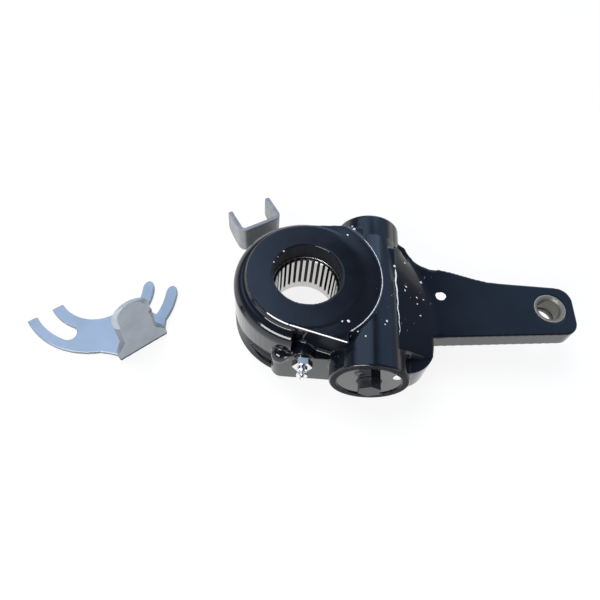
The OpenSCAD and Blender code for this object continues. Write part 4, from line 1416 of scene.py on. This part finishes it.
@dataclass
class Studio:
    """White floor, soft sky, softboxes and the camera."""

    azimuth: float = 3.1756
    elevation: float = 58.6703
    roll: float = -7.2449
    focal_px: float = 560.56
    frame_px: float = 600.0
    sensor: float = 36.0
    clip_start: float = 10.0 * MM
    target: Triple = (50.0 * MM, 0.0, 0.0)
    offset: Triple = (52.831 * MM, 1.190 * MM, 346.798 * MM)
    floor_size: float = 6.0
    floor_drop: float = 0.1 * MM
    floor_white: float = 0.92
    floor_glow: float = 0.86
    bands: tuple[tuple[float, Colour], ...] = (
        (0.0, (1.0, 1.0, 1.0)), (0.1, (1.0, 1.0, 1.0)), (0.17, (0.60, 0.61, 0.63)),
        (0.3, (0.22, 0.225, 0.24)), (0.45, (0.07, 0.075, 0.085)), (1.0, (0.05, 0.055, 0.065)))
    glows: tuple[Glow, ...] = (
        Glow((-0.35, 0.43, 0.83), (0.50, 0.71, 1.07), 0.875, 0.97),
        Glow((0.60, 0.45, 0.66), (0.22, 0.36, 0.60), 0.875, 0.985),
        Glow((0.15, 0.85, 0.50), (0.65, 0.95, 1.40), 0.915, 0.98))
    softboxes: tuple[Softbox, ...] = (
        Softbox("key", (-0.35, 0.45, 1.15), (0.9, 0.9), 15.0, unseen=True),
        Softbox("front", (-0.526, -0.809, 0.714), (0.96, 0.34), 12.0))

    def build(self) -> None:
        """Sets up floor, sky, lamps and camera."""
        bpy.context.scene.view_settings.view_transform = "Standard"
        self.floor()
        self.sky()
        for softbox in self.softboxes:
            softbox.hang()
        self.camera()

    def floor(self) -> None:
        """Makes the floor, which shines white to the eye and to glossy surfaces and keeps a faint shadow."""
        mesh = bpy.data.meshes.new("floor")
        half, level = self.floor_size / 2, CAD_BOX[0].z - self.floor_drop
        mesh.from_pydata(
            [(-half, -half, level), (half, -half, level), (half, half, level), (-half, half, level)], [],
            [(0, 1, 2, 3)])
        plane = put("floor", mesh)
        material = bpy.data.materials.new("white_floor")
        material.use_nodes = True
        graph = NodeGraph(material.node_tree)
        matt = graph.add("BsdfDiffuse")
        matt.inputs["Color"].default_value = (self.floor_white, self.floor_white, self.floor_white, 1.0)
        path = graph.add("LightPath").outputs
        seen = graph.math("MAXIMUM", path["Is Camera Ray"], path["Is Glossy Ray"])
        seen = graph.math("MAXIMUM", seen, path["Is Transmission Ray"])
        mix = graph.add("MixShader")
        graph.link(graph.math("MULTIPLY", seen, self.floor_glow), mix.inputs["Fac"])
        graph.link(matt.outputs["BSDF"], mix.inputs[1])
        graph.link(graph.add("Emission").outputs["Emission"], mix.inputs[2])
        graph.link(mix.outputs["Shader"], graph.add("OutputMaterial").inputs["Surface"])
        mesh.materials.append(material)

    def sky(self) -> None:
        """Makes the sky: white at the horizon, dark overhead, with bluish glows behind the object."""
        world = bpy.data.worlds.new("studio")
        bpy.context.scene.world = world
        world.use_nodes = True
        graph = NodeGraph(world.node_tree)
        toward = graph.add("TexCoord").outputs["Generated"]
        split = graph.add("SeparateXYZ")
        graph.link(toward, split.inputs["Vector"])
        light = graph.ramp(split.outputs["Z"], list(self.bands))
        for glow in self.glows:
            facing = graph.add("VectorMath", operation="DOT_PRODUCT")
            graph.link(toward, facing.inputs[0])
            facing.inputs[1].default_value = Vector(glow.toward).normalized()
            share = graph.spread(facing.outputs["Value"], (glow.edge, glow.core), (0.0, 1.0))
            tint = graph.add("VectorMath", operation="SCALE")
            tint.inputs[0].default_value = glow.colour
            graph.link(share, tint.inputs["Scale"])
            total = graph.add("VectorMath", operation="ADD")
            graph.link(light, total.inputs[0])
            graph.link(tint.outputs["Vector"], total.inputs[1])
            light = total.outputs["Vector"]
        back = graph.add("Background")
        graph.link(light, back.inputs["Color"])
        graph.link(back.outputs["Background"], graph.add("OutputWorld").inputs["Surface"])

    def camera(self) -> None:
        """Makes the camera at the photograph's angle, distance and roll."""
        a, e, r = (math.radians(x) for x in (self.azimuth, self.elevation, self.roll))
        ahead = Vector((math.sin(a) * math.cos(e), math.cos(a) * math.cos(e), -math.sin(e)))
        level = Vector((math.cos(a), -math.sin(a), 0.0))
        down = ahead.cross(level)
        right = math.cos(r) * level + math.sin(r) * down
        low = -math.sin(r) * level + math.cos(r) * down
        turn = Matrix((right, -low, -ahead)).transposed()
        x, y, depth = self.offset
        place = Vector(self.target) - right * x - low * y - ahead * depth
        data = bpy.data.cameras.new("camera")
        data.sensor_width = self.sensor
        data.lens = self.focal_px / self.frame_px * self.sensor
        data.clip_start = self.clip_start
        eye = put("camera", data)
        eye.matrix_world = Matrix.Translation(place) @ turn.to_4x4()
        bpy.context.scene.camera = eye


def main() -> None:
    """Builds the adjuster's looks and the studio round it."""
    logging.basicConfig(level=logging.INFO)
    finishes = Finishes()
    Studio().build()
    Casting().build(finishes)
    SheetParts().build(finishes)
    Fittings().build(finishes)


if __name__ == "__main__":
    main()
